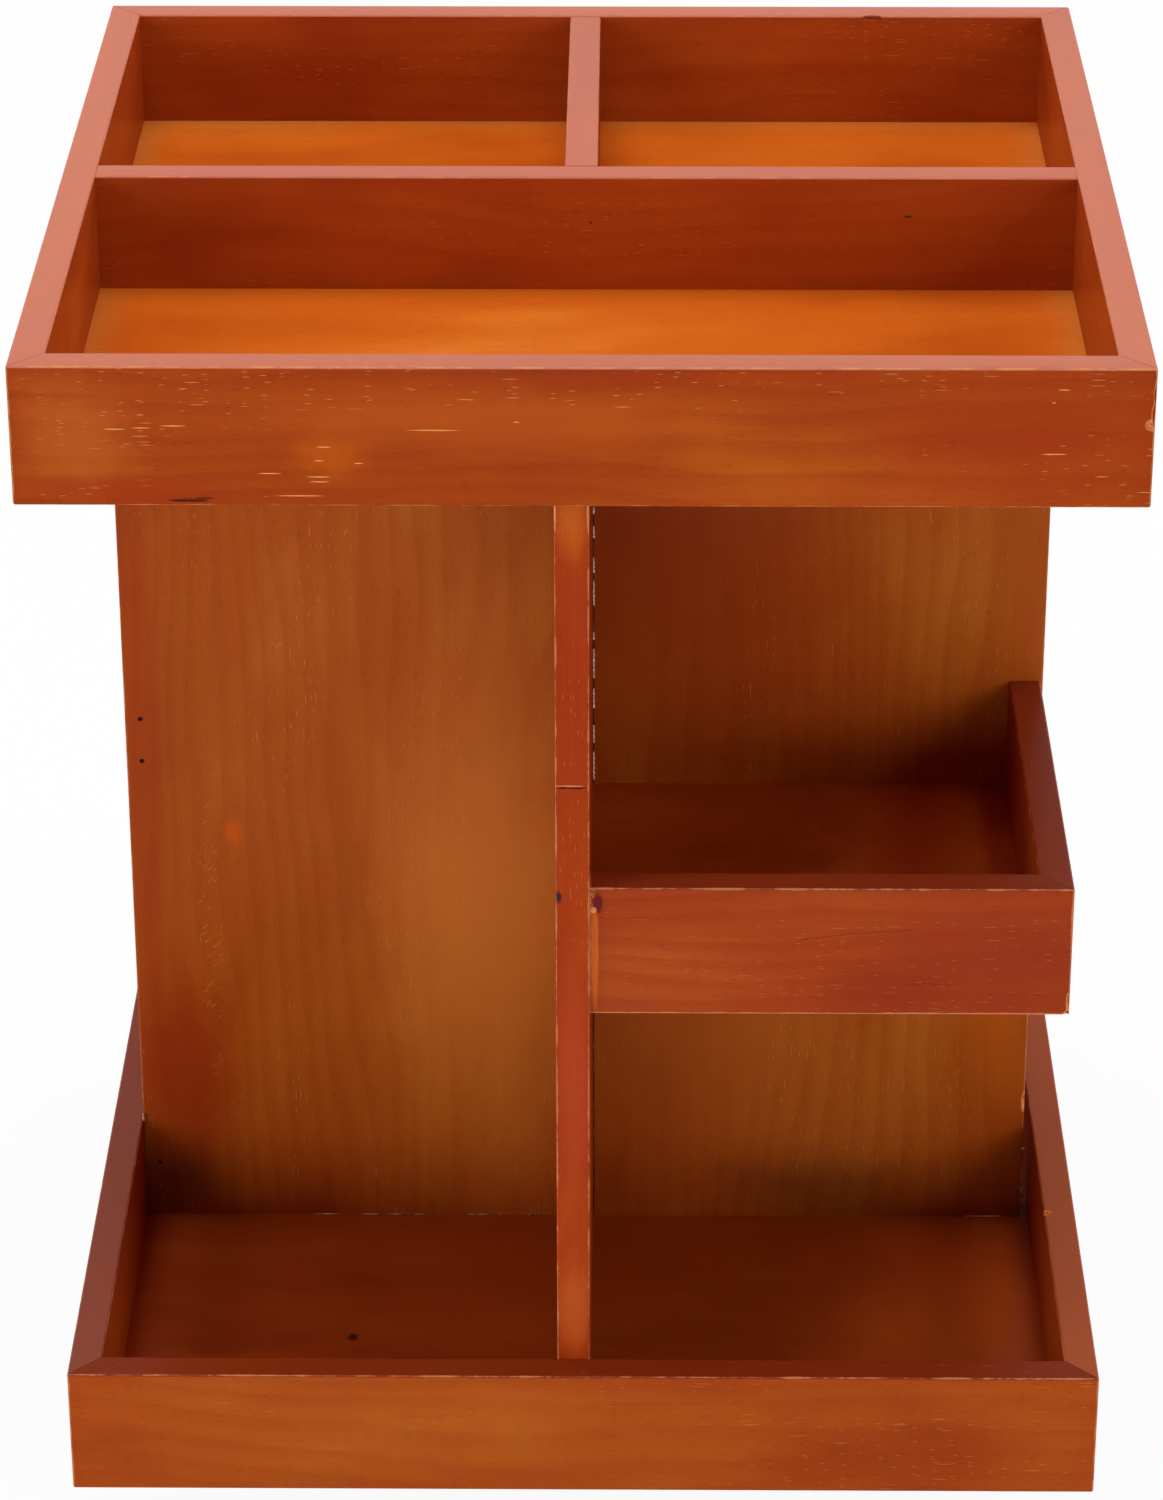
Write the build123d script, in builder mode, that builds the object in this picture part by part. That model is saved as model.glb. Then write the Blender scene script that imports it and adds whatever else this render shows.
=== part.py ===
from build123d import *
import os
from math import cos, radians, sin

# Rotating desk organizer with drawers.
#
# A cross-shaped column of boards stands between a wide bottom tray and a wide top tray.
# The whole of it turns on a ball-bearing swivel that is screwed to a round base board.
# The front has a tall open bay on the left and a half-height shelf on the right.
# The rear has a bank of drawers on the left and a tall open bay on the right.
#
# Millimetres, +Z up. The front faces -Y, left and right are as seen from the front, and
# the origin is on the surface that the feet stand on, on the axis that the organizer turns about.

os.makedirs("parts", exist_ok=True)

# ---------------------------------------------------------------- driving dimensions

# Stock
board = 8.0                   # planed boards of the trays, the column and the cabinet
ply = 4.0                     # tray floors and the shelf floor
drawer_board = 6.0            # sides and backs of the drawers
drawer_ply = 3.0              # bottoms of the drawers
arris = 0.6                   # rounding of the edges that hands touch

# Base
base_radius = 95.0
base_thickness = 8.0
base_rounding = 1.5
foot_radius = 7.0
foot_height = 2.5
foot_rounding = 0.6
foot_circle = 80.0            # radius of the circle that the feet stand on
foot_count = 4

# Swivel
plate_width = 76.0
plate_corner = 6.0
plate_gauge = 1.2
collar_inner = 13.6           # hole through the middle of the swivel
dish_rise = 1.8               # how far the lower plate rises round its hole
dish_slope = 2.0              # run of the dish's sloping wall
lip_reach = 2.7               # width of the lip that holds the two plates together
ball_radius = 2.0
ball_count = 24
race_wall_gap = 0.9           # from the race wall's top to the upper plate
plate_hole_offset = 30.0      # plate screws, from the swivel's axis along each side
driver_hole_radius = 4.0      # hole in the base board that a screwdriver reaches through

# Trays
top_tray_width = 254.0
bottom_tray_width = 252.0
rim_height = 33.5
body_height = 299.0           # from the bottom tray's underside to the top tray's rim
long_divider_drop = 0.4       # how far the top dividers stay below the rim
cross_divider_x = -1.2        # middle of the divider between the two rear compartments

# Column
divider_x = -2.3              # middle of the centre divider
panel_seam = 0.3              # seam between the centre divider and the right panel
panel_end_gap = 2.0           # from the right panel's outer edge to the bottom tray's rim

# Shelf
shelf_height = 130.0          # from the bottom tray's underside to the shelf's underside
shelf_setback = 1.5           # behind the centre divider's front edge
shelf_inset = 0.7             # inside the right panel's outer edge

# Drawers
drawer_names = ("lower", "middle", "upper")
front_inset = 4.0             # drawer fronts, inside the cabinet's rear edges
drawer_side_gap = 0.8
drawer_slide_gap = 0.3        # under the drawer
drawer_top_gap = 1.1
drawer_rear_gap = 2.0         # from the drawer's back to the panel behind it
side_drop = 12.0              # how far the drawer's sides stay below its front
groove_depth = 2.5
groove_height = 4.0           # from the drawer's underside to the groove
groove_gap = 0.15             # all round the bottom panel in its grooves
knob_length = 12.0
knob_head_radius = 8.0
knob_neck_radius = 3.6
knob_foot_radius = 4.8
knob_crown = 3.5              # height of the knob's domed face

# Fasteners
brad_radius = 0.4
brad_head_radius = 0.6
brad_head_height = 0.5
brad_set = 0.8                # how far the brad's head is driven below the wood
brad_length = 22.0
rim_brad_margin = 9.0         # from a rim's top and bottom edges to its brads
shelf_brad_margin = 9.0
panel_brad_heights = (20.0, 140.0, 152.0, 245.0)   # above the bottom tray's underside
screw_radius = 1.5
screw_head_radius = 2.9
screw_head_height = 2.0
screw_tip_cover = 0.4         # wood left over the tips of the swivel's upper screws
base_screw_depth = 6.4        # how far the swivel's lower screws go into the base board
column_screw_radius = 1.75
column_screw_head_radius = 3.4
column_screw_length = 28.0
column_screw_offset = 86.0    # from the axis, under the divider and the panels
knob_screw_radius = 2.0
knob_screw_head_radius = 3.8
knob_screw_head_height = 2.4
knob_screw_bite = 7.0         # how far the screw goes into the knob
recess_width = 0.8            # cross recess in the screw heads
recess_depth = 1.1

# Fits
running_gap = 0.05            # round the balls
swivel_gap = 0.3              # between the two swivel plates
fastener_gap = 0.05           # round brads and screws in their holes

# ---------------------------------------------------------------- worked-out places

swivel_z = foot_height + base_thickness
dish_top = dish_rise + plate_gauge
swivel_height = dish_top + running_gap + 2 * ball_radius + running_gap + plate_gauge
tray_z = swivel_z + swivel_height
floor_top = tray_z + ply
column_top = tray_z + body_height - rim_height
column_height = column_top - floor_top
inner_half = bottom_tray_width / 2 - board
top_inner_half = top_tray_width / 2 - board

divider_left = divider_x - board / 2
divider_right = divider_x + board / 2
panel_front = -board / 2
panel_back = board / 2
panel_right = inner_half - panel_end_gap

shelf_z = tray_z + shelf_height
shelf_front = -inner_half + shelf_setback
shelf_right = panel_right - shelf_inset

cabinet_left = -inner_half + board
cabinet_floor_top = tray_z + rim_height
drawer_count = len(drawer_names)
drawer_pitch = (column_top - cabinet_floor_top + board) / drawer_count
opening_height = drawer_pitch - board
front_face = inner_half - front_inset
front_back = front_face - board
drawer_left = cabinet_left + drawer_side_gap
drawer_right = divider_left - drawer_side_gap
drawer_back = panel_back + drawer_rear_gap
knob_x = (drawer_left + drawer_right) / 2


def finish(piece, name):
    """Label one finished piece and write it as its own STEP file."""
    piece.part.label = name
    export_step(piece.part, f"parts/{name}.step")


def middle(low, high):
    """The point half way between two places on one axis."""
    return (low + high) / 2


def drill_brads(planes):
    """Counterbore the open part for brads driven in at the given planes."""
    with Locations(*planes):
        CounterBoreHole(
            radius=brad_radius + fastener_gap,
            counter_bore_radius=brad_head_radius + fastener_gap,
            counter_bore_depth=brad_set + brad_head_height,
            depth=brad_length + fastener_gap,
        )


def brads(name, planes):
    """A group of brads, each driven in along the normal of its plane and set below the wood."""
    with BuildPart() as group:
        with Locations(*[plane.offset(-brad_set) for plane in planes]):
            Cylinder(brad_head_radius, brad_head_height, align=(Align.CENTER, Align.CENTER, Align.MAX))
            Cylinder(brad_radius, brad_length - brad_set, align=(Align.CENTER, Align.CENTER, Align.MAX))
    finish(group, name)


def pan_screws(name, planes, radius, head_radius, head_height, length):
    """A group of pan-head screws. Their heads stand on the planes and their shanks run behind them."""
    with BuildPart() as group:
        with Locations(*planes):
            Cylinder(head_radius, head_height, align=(Align.CENTER, Align.CENTER, Align.MIN))
            Cylinder(radius, length, align=(Align.CENTER, Align.CENTER, Align.MAX))
        outwards = Axis((0, 0, 0), planes[0].z_dir)
        fillet(group.edges().group_by(outwards)[-1], head_height / 2)
        with Locations(*[plane.offset(head_height) for plane in planes]):
            Box(head_radius, recess_width, 2 * recess_depth, mode=Mode.SUBTRACT)
            Box(recess_width, head_radius, 2 * recess_depth, mode=Mode.SUBTRACT)
    finish(group, name)


def plain_board(name, x_span, y_span, z_span, rounded, brad_planes=()):
    """One straight board between two places on each axis.

    rounded picks, from all of the board's edges, the ones whose arrises are taken off.
    """
    with BuildPart() as piece:
        with BuildSketch(Plane.XY.offset(z_span[0])):
            with Locations((middle(*x_span), middle(*y_span))):
                Rectangle(x_span[1] - x_span[0], y_span[1] - y_span[0])
        extrude(amount=z_span[1] - z_span[0])
        fillet(rounded(piece.edges()), arris)
        if brad_planes:
            drill_brads(brad_planes)
    finish(piece, name)


def mitred_rims(tray_name, tray_width, underside):
    """The four mitred rims of a square tray, and the brads across their corners."""
    half = tray_width / 2
    brad_planes = [
        Plane(origin=(side * half, end * (half - board / 2), underside + height), z_dir=(side, 0, 0))
        for side in (-1, 1)
        for end in (-1, 1)
        for height in (rim_brad_margin, rim_height - rim_brad_margin)
    ]
    directions = {"front": (0, -1), "rear": (0, 1), "left": (-1, 0), "right": (1, 0)}
    for side_name, (x, y) in directions.items():
        with BuildPart() as rim:
            with BuildSketch(Plane.XY.offset(underside)):
                Rectangle(tray_width, tray_width)
                Rectangle(tray_width - 2 * board, tray_width - 2 * board, mode=Mode.SUBTRACT)
            extrude(amount=rim_height)
            corners = rim.edges().filter_by(Axis.Z).sort_by(lambda edge: edge.center().length)[-4:]
            fillet(corners, arris)
            fillet(rim.edges().group_by(Axis.Z)[-1], arris)
            outer_foot = rim.faces().sort_by(Axis.Z)[0].outer_wire()
            fillet(outer_foot.edges(), arris)
            split(bisect_by=Plane(origin=(0, 0, underside), z_dir=(x + y, y - x, 0)), keep=Keep.TOP)
            split(bisect_by=Plane(origin=(0, 0, underside), z_dir=(x - y, y + x, 0)), keep=Keep.TOP)
            drill_brads(brad_planes)
        finish(rim, f"{tray_name}_{side_name}_rim")
    brads(f"{tray_name}_brads", brad_planes)


# ---------------------------------------------------------------- base

driver_hole_x = plate_hole_offset
lower_screw_circle = plate_hole_offset * 2 ** 0.5
lower_screw_planes = [
    Plane(
        origin=(
            lower_screw_circle * cos(radians(turn)),
            lower_screw_circle * sin(radians(turn)),
            swivel_z + plate_gauge,
        )
    )
    for turn in (0, 90, 180, 270)
]

with BuildPart() as base_board:
    with BuildSketch(Plane.XY.offset(foot_height)):
        Circle(base_radius)
    extrude(amount=base_thickness)
    fillet(base_board.edges(), base_rounding)
    with BuildSketch(Plane.XY.offset(foot_height)):
        with Locations((driver_hole_x, driver_hole_x)):
            Circle(driver_hole_radius)
    extrude(amount=base_thickness, mode=Mode.SUBTRACT)
    with Locations(*lower_screw_planes):
        Hole(screw_radius + fastener_gap, depth=plate_gauge + base_screw_depth + fastener_gap)
finish(base_board, "base_board")

for number in range(foot_count):
    turn = radians((number + 0.5) * 360 / foot_count)
    with BuildPart() as foot:
        with BuildSketch(Plane(origin=(foot_circle * cos(turn), foot_circle * sin(turn), 0))):
            Circle(foot_radius)
        extrude(amount=foot_height)
        fillet(foot.edges().group_by(Axis.Z)[0], foot_rounding)
    finish(foot, f"base_foot_{number + 1}")

# ---------------------------------------------------------------- swivel

collar_outer = collar_inner + plate_gauge
ball_circle = collar_outer + running_gap + ball_radius
race_wall_inner = ball_circle + ball_radius + running_gap
race_wall_outer = race_wall_inner + plate_gauge
dish_radius = race_wall_outer + dish_slope
dish_foot = dish_radius + dish_slope
lower_hole = collar_outer + swivel_gap
race_wall_top = swivel_height - plate_gauge - race_wall_gap
lip_top = swivel_gap + plate_gauge
swivel_section = Plane(origin=(0, 0, swivel_z), x_dir=(1, 0, 0), z_dir=(0, -1, 0))

with BuildPart() as lower_plate:
    with BuildSketch(Plane(origin=(0, 0, swivel_z)).rotated((0, 0, 45))):
        RectangleRounded(plate_width, plate_width, plate_corner)
        Circle(dish_foot, mode=Mode.SUBTRACT)
    extrude(amount=plate_gauge)
    with BuildSketch(swivel_section):
        with BuildLine():
            Polyline(
                (lower_hole, dish_rise),
                (dish_radius, dish_rise),
                (dish_foot, 0),
                (dish_foot + plate_gauge, 0),
                (dish_foot + plate_gauge, plate_gauge),
                (dish_foot + plate_gauge / 2, plate_gauge),
                (dish_radius + plate_gauge / 2, dish_top),
                (race_wall_outer, dish_top),
                (race_wall_outer, race_wall_top),
                (race_wall_inner, race_wall_top),
                (race_wall_inner, dish_top),
                (lower_hole, dish_top),
                close=True,
            )
        make_face()
    revolve(axis=Axis.Z)
    with Locations(*lower_screw_planes):
        Hole(screw_radius + fastener_gap, depth=plate_gauge)
finish(lower_plate, "swivel_lower_plate")

pan_screws(
    "swivel_lower_screws",
    lower_screw_planes,
    screw_radius,
    screw_head_radius,
    screw_head_height,
    plate_gauge + base_screw_depth,
)

with BuildPart() as balls:
    with Locations(Plane.XY.offset(swivel_z + dish_top + running_gap + ball_radius)):
        with PolarLocations(ball_circle, ball_count):
            Sphere(ball_radius)
finish(balls, "swivel_balls")

upper_screw_planes = [
    Plane(
        origin=(x * plate_hole_offset, y * plate_hole_offset, tray_z - plate_gauge),
        z_dir=(0, 0, -1),
    )
    for x in (-1, 1)
    for y in (-1, 1)
]
upper_screw_length = plate_gauge + ply - screw_tip_cover

with BuildPart() as upper_plate:
    with BuildSketch(Plane.XY.offset(tray_z - plate_gauge)):
        RectangleRounded(plate_width, plate_width, plate_corner)
        Circle(collar_inner, mode=Mode.SUBTRACT)
    extrude(amount=plate_gauge)
    with BuildSketch(swivel_section):
        with BuildLine():
            Polyline(
                (collar_inner, swivel_gap),
                (collar_outer + lip_reach, swivel_gap),
                (collar_outer + lip_reach, lip_top),
                (collar_outer, lip_top),
                (collar_outer, swivel_height),
                (collar_inner, swivel_height),
                close=True,
            )
        make_face()
    revolve(axis=Axis.Z)
    with Locations(*upper_screw_planes):
        Hole(screw_radius + fastener_gap, depth=plate_gauge)
finish(upper_plate, "swivel_upper_plate")

pan_screws(
    "swivel_upper_screws",
    upper_screw_planes,
    screw_radius,
    screw_head_radius,
    screw_head_height,
    upper_screw_length,
)

# ---------------------------------------------------------------- bottom tray

column_screw_planes = [
    Plane(origin=(x, y, tray_z), z_dir=(0, 0, -1))
    for x, y in (
        (divider_x, -column_screw_offset),
        (divider_x, column_screw_offset),
        (-column_screw_offset, 0),
        (column_screw_offset, 0),
    )
]


def drill_column_screws():
    """Bore and countersink the open part for the screws that come up through the bottom floor."""
    with Locations(*column_screw_planes):
        CounterSinkHole(
            radius=column_screw_radius + fastener_gap,
            counter_sink_radius=column_screw_head_radius + fastener_gap,
            depth=column_screw_length + fastener_gap,
        )


mitred_rims("bottom", bottom_tray_width, tray_z)

with BuildPart() as bottom_floor:
    with BuildSketch(Plane.XY.offset(tray_z)):
        Rectangle(2 * inner_half, 2 * inner_half)
    extrude(amount=ply)
    with Locations(*upper_screw_planes):
        Hole(screw_radius + fastener_gap, depth=upper_screw_length + fastener_gap)
    drill_column_screws()
finish(bottom_floor, "bottom_floor")

with BuildPart() as column_screws:
    with Locations(*column_screw_planes):
        Cylinder(
            column_screw_radius,
            column_screw_length,
            align=(Align.CENTER, Align.CENTER, Align.MAX),
        )
        head_depth = column_screw_head_radius - column_screw_radius
        Cone(
            column_screw_radius,
            column_screw_head_radius,
            head_depth,
            align=(Align.CENTER, Align.CENTER, Align.MAX),
        )
        Box(column_screw_head_radius, recess_width, 2 * recess_depth, mode=Mode.SUBTRACT)
        Box(recess_width, column_screw_head_radius, 2 * recess_depth, mode=Mode.SUBTRACT)
finish(column_screws, "column_screws")

# ---------------------------------------------------------------- top tray

mitred_rims("top", top_tray_width, column_top)

with BuildPart() as top_floor:
    with BuildSketch(Plane.XY.offset(column_top)):
        Rectangle(2 * top_inner_half, 2 * top_inner_half)
    extrude(amount=ply)
finish(top_floor, "top_floor")

top_divider_z = (column_top + ply, column_top + rim_height - long_divider_drop)
plain_board(
    "top_long_divider",
    (-top_inner_half, top_inner_half),
    (panel_front, panel_back),
    top_divider_z,
    lambda edges: edges.filter_by(Axis.X).group_by(Axis.Z)[-1],
)
plain_board(
    "top_cross_divider",
    (cross_divider_x - board / 2, cross_divider_x + board / 2),
    (panel_back, top_inner_half),
    top_divider_z,
    lambda edges: edges.filter_by(Axis.Y).group_by(Axis.Z)[-1],
)

# ---------------------------------------------------------------- column

panel_brad_planes = [
    Plane(origin=(cabinet_left - board / 2, panel_front, tray_z + height), z_dir=(0, -1, 0))
    for height in panel_brad_heights
]
divider_brad_planes = [
    Plane(origin=(divider_left, shelf_front + board / 2, shelf_z + height), z_dir=(-1, 0, 0))
    for height in (shelf_brad_margin, rim_height - shelf_brad_margin)
]
side_lip_brad_planes = [
    Plane(origin=(shelf_right - board / 2, panel_back, shelf_z + height), z_dir=(0, 1, 0))
    for height in (shelf_brad_margin, rim_height - shelf_brad_margin)
]

with BuildPart() as centre_divider:
    with BuildSketch(Plane.XY.offset(floor_top)):
        with Locations((divider_x, 0)):
            Rectangle(board, 2 * inner_half)
    extrude(amount=column_height)
    upright = centre_divider.edges().filter_by(Axis.Z)
    fillet(upright, arris)
    drill_column_screws()
    drill_brads(divider_brad_planes)
finish(centre_divider, "centre_divider")

with BuildPart() as left_panel:
    with BuildSketch(Plane.XY.offset(floor_top)):
        with Locations((middle(-inner_half, divider_left), 0)):
            Rectangle(divider_left + inner_half, board)
    extrude(amount=column_height)
    fillet(left_panel.edges().filter_by(Axis.Z).group_by(Axis.X)[0], arris)
    drill_column_screws()
    drill_brads(panel_brad_planes)
finish(left_panel, "left_panel")

with BuildPart() as right_panel:
    with BuildSketch(Plane.XY.offset(floor_top)):
        with Locations((middle(divider_right + panel_seam, panel_right), 0)):
            Rectangle(panel_right - divider_right - panel_seam, board)
    extrude(amount=column_height)
    fillet(right_panel.edges().filter_by(Axis.Z).group_by(Axis.X)[-1], arris)
    drill_column_screws()
    drill_brads(side_lip_brad_planes)
finish(right_panel, "right_panel")

# ---------------------------------------------------------------- shelf

with BuildPart() as shelf_floor:
    with BuildSketch(Plane.XY.offset(shelf_z)):
        floor_right = shelf_right - board
        floor_front = shelf_front + board
        with Locations((middle(divider_right, floor_right), middle(floor_front, panel_front))):
            Rectangle(floor_right - divider_right, panel_front - floor_front)
    extrude(amount=ply)
finish(shelf_floor, "shelf_floor")


def shelf_lip(name, keep, brad_planes):
    """One half of the lip that runs along the shelf's front and right side, cut at its mitre."""
    with BuildPart() as lip:
        with BuildSketch(Plane.XY.offset(shelf_z)):
            with BuildLine():
                Polyline(
                    (divider_right, shelf_front),
                    (shelf_right, shelf_front),
                    (shelf_right, panel_front),
                    (shelf_right - board, panel_front),
                    (shelf_right - board, shelf_front + board),
                    (divider_right, shelf_front + board),
                    close=True,
                )
            make_face()
        extrude(amount=rim_height)
        corner = lip.edges().filter_by(Axis.Z).sort_by(lambda edge: edge.center().X - edge.center().Y)
        fillet(corner[-1], arris)
        fillet(
            lip.edges().group_by(Axis.Z)[-1].filter_by(
                lambda edge: edge.length > board + arris or edge.geom_type == GeomType.CIRCLE
            ),
            arris,
        )
        split(
            bisect_by=Plane(origin=(shelf_right, shelf_front, shelf_z), z_dir=(-1, -1, 0)),
            keep=keep,
        )
        drill_brads(brad_planes)
    finish(lip, name)


shelf_lip("shelf_front_lip", Keep.TOP, divider_brad_planes)
shelf_lip("shelf_side_lip", Keep.BOTTOM, side_lip_brad_planes)
brads("shelf_brads", divider_brad_planes + side_lip_brad_planes)

# ---------------------------------------------------------------- drawer cabinet

plain_board(
    "cabinet_side",
    (-inner_half, cabinet_left),
    (panel_back, inner_half),
    (floor_top, column_top),
    lambda edges: edges.filter_by(Axis.Z).group_by(Axis.Y)[-1],
    panel_brad_planes,
)
brads("cabinet_brads", panel_brad_planes)

for number in range(drawer_count):
    shelf_under_drawer = cabinet_floor_top - board + number * drawer_pitch
    plain_board(
        "cabinet_floor" if number == 0 else f"cabinet_shelf_{number}",
        (cabinet_left, divider_left),
        (panel_back, inner_half),
        (shelf_under_drawer, shelf_under_drawer + board),
        lambda edges: edges.filter_by(Axis.X).group_by(Axis.Y)[-1],
    )

# ---------------------------------------------------------------- drawers


def groove(x_span, y_span, drawer_z):
    """Cut a groove for the bottom panel out of the open part."""
    with BuildSketch(Plane.XY.offset(drawer_z + groove_height)) as outline:
        with Locations((middle(*x_span), middle(*y_span))):
            Rectangle(x_span[1] - x_span[0], y_span[1] - y_span[0])
    extrude(outline.sketch, amount=drawer_ply + 2 * groove_gap, mode=Mode.SUBTRACT)


for number, drawer_name in enumerate(drawer_names):
    opening_z = cabinet_floor_top + number * drawer_pitch
    drawer_z = opening_z + drawer_slide_gap
    front_height = opening_height - drawer_slide_gap - drawer_top_gap
    side_height = front_height - side_drop
    inner_left = drawer_left + drawer_board
    inner_right = drawer_right - drawer_board
    inner_back = drawer_back + drawer_board
    groove_left = inner_left - groove_depth
    groove_right = inner_right + groove_depth
    groove_back = inner_back - groove_depth
    groove_front = front_back + groove_depth
    knob_z = drawer_z + front_height / 2
    knob_seat = Plane(origin=(knob_x, front_face, knob_z), x_dir=(1, 0, 0), z_dir=(0, 0, 1))
    screw_seat = Plane(origin=(knob_x, front_back, knob_z), z_dir=(0, -1, 0))

    with BuildPart() as drawer_front:
        with BuildSketch(Plane.XY.offset(drawer_z)):
            with Locations((knob_x, middle(front_back, front_face))):
                Rectangle(drawer_right - drawer_left, board)
        extrude(amount=front_height)
        fillet(drawer_front.faces().sort_by(Axis.Y)[-1].edges(), arris)
        groove((groove_left, groove_right), (front_back, groove_front), drawer_z)
        with Locations(screw_seat):
            Hole(knob_screw_radius + fastener_gap, depth=board)
    finish(drawer_front, f"{drawer_name}_drawer_front")

    for side_name, outer, inner, groove_edge in (
        ("left", drawer_left, inner_left, groove_left),
        ("right", drawer_right, inner_right, groove_right),
    ):
        with BuildPart() as drawer_side:
            with BuildSketch(Plane.XY.offset(drawer_z)):
                with Locations((middle(outer, inner), middle(drawer_back, front_back))):
                    Rectangle(drawer_board, front_back - drawer_back)
            extrude(amount=side_height)
            fillet(drawer_side.edges().filter_by(Axis.Y).group_by(Axis.Z)[-1], arris)
            span = (min(inner, groove_edge), max(inner, groove_edge))
            groove(span, (groove_back, front_back), drawer_z)
        finish(drawer_side, f"{drawer_name}_drawer_{side_name}_side")

    with BuildPart() as drawer_rear:
        with BuildSketch(Plane.XY.offset(drawer_z)):
            with Locations((middle(inner_left, inner_right), middle(drawer_back, inner_back))):
                Rectangle(inner_right - inner_left, drawer_board)
        extrude(amount=side_height)
        fillet(drawer_rear.edges().filter_by(Axis.X).group_by(Axis.Z)[-1], arris)
        groove((inner_left, inner_right), (groove_back, inner_back), drawer_z)
    finish(drawer_rear, f"{drawer_name}_drawer_back")

    with BuildPart() as drawer_bottom:
        with BuildSketch(Plane.XY.offset(drawer_z + groove_height + groove_gap)):
            with Locations((knob_x, middle(groove_back, groove_front))):
                Rectangle(
                    groove_right - groove_left - 2 * groove_gap,
                    groove_front - groove_back - 2 * groove_gap,
                )
        extrude(amount=drawer_ply)
    finish(drawer_bottom, f"{drawer_name}_drawer_bottom")

    with BuildPart() as knob:
        with BuildSketch(knob_seat):
            with BuildLine():
                widest = (knob_head_radius, knob_length - knob_crown)
                neck = (knob_neck_radius, knob_length / 3)
                Line((0, 0), (knob_foot_radius, 0))
                Spline((knob_foot_radius, 0), neck, widest, tangents=((-1, 1), (0, 1)))
                Spline(widest, (0, knob_length), tangents=((0, 1), (-1, 0)))
                Line((0, knob_length), (0, 0))
            make_face()
        revolve(axis=Axis(knob_seat.origin, (0, 1, 0)))
        with Locations(Plane(origin=(knob_x, front_face, knob_z), z_dir=(0, -1, 0))):
            Hole(knob_screw_radius + fastener_gap, depth=knob_screw_bite + fastener_gap)
    finish(knob, f"{drawer_name}_drawer_knob")

    pan_screws(
        f"{drawer_name}_drawer_knob_screw",
        [screw_seat],
        knob_screw_radius,
        knob_screw_head_radius,
        knob_screw_head_height,
        board + knob_screw_bite,
    )
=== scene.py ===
import logging
import math
import random
from dataclasses import dataclass
from enum import Enum

import bpy
from mathutils import Euler, Matrix, Vector


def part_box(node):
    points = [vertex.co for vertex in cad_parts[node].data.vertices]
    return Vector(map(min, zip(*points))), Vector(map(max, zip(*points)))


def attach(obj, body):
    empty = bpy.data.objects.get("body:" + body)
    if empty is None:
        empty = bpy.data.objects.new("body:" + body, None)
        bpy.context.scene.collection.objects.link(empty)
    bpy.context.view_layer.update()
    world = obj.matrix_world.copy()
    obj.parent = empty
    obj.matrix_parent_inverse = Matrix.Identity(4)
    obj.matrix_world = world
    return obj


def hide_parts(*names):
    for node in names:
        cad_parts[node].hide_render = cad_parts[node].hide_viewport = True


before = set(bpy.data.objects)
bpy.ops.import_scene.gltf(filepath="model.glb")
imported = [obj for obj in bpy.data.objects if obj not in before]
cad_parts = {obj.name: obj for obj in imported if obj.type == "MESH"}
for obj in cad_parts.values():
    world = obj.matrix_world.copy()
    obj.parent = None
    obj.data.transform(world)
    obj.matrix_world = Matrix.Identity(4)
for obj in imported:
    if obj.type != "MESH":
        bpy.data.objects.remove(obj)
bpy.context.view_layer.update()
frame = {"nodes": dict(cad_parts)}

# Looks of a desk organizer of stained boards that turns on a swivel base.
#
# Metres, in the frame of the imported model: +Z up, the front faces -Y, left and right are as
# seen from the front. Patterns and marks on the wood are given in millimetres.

log = logging.getLogger("organizer")

MM = 0.001
BURIED = 40.0  # how far an end that a joint hides is moved away from the wear, in millimetres

WELD = 0.002  # how near each other two points of a mesh are merged, in millimetres

Colour = tuple[float, float, float, float]
Point = tuple[float, float, float]

WHITE: Colour = (1.0, 1.0, 1.0, 1.0)


def paint(red: int, green: int, blue: int) -> Colour:
    """Turn a colour as a paint chart gives it, 0 to 255, into the linear colour that shaders take.

    Args:
        red: Red, 0 to 255.
        green: Green, 0 to 255.
        blue: Blue, 0 to 255.

    Returns:
        The linear colour, opaque.
    """

    def channel(value: int) -> float:
        """Undo the display's curve for one channel."""
        share = value / 255
        return share / 12.92 if share <= 0.04045 else ((share + 0.055) / 1.055) ** 2.4

    return (channel(red), channel(green), channel(blue), 1.0)


class Grain(Enum):
    """The way a board's grain runs, as the turn that brings it onto the X axis."""

    ACROSS = (0.0, 0.0, 0.0)
    DEEP = (0.0, 0.0, -math.pi / 2)
    UPRIGHT = (0.0, math.pi / 2, 0.0)


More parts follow.
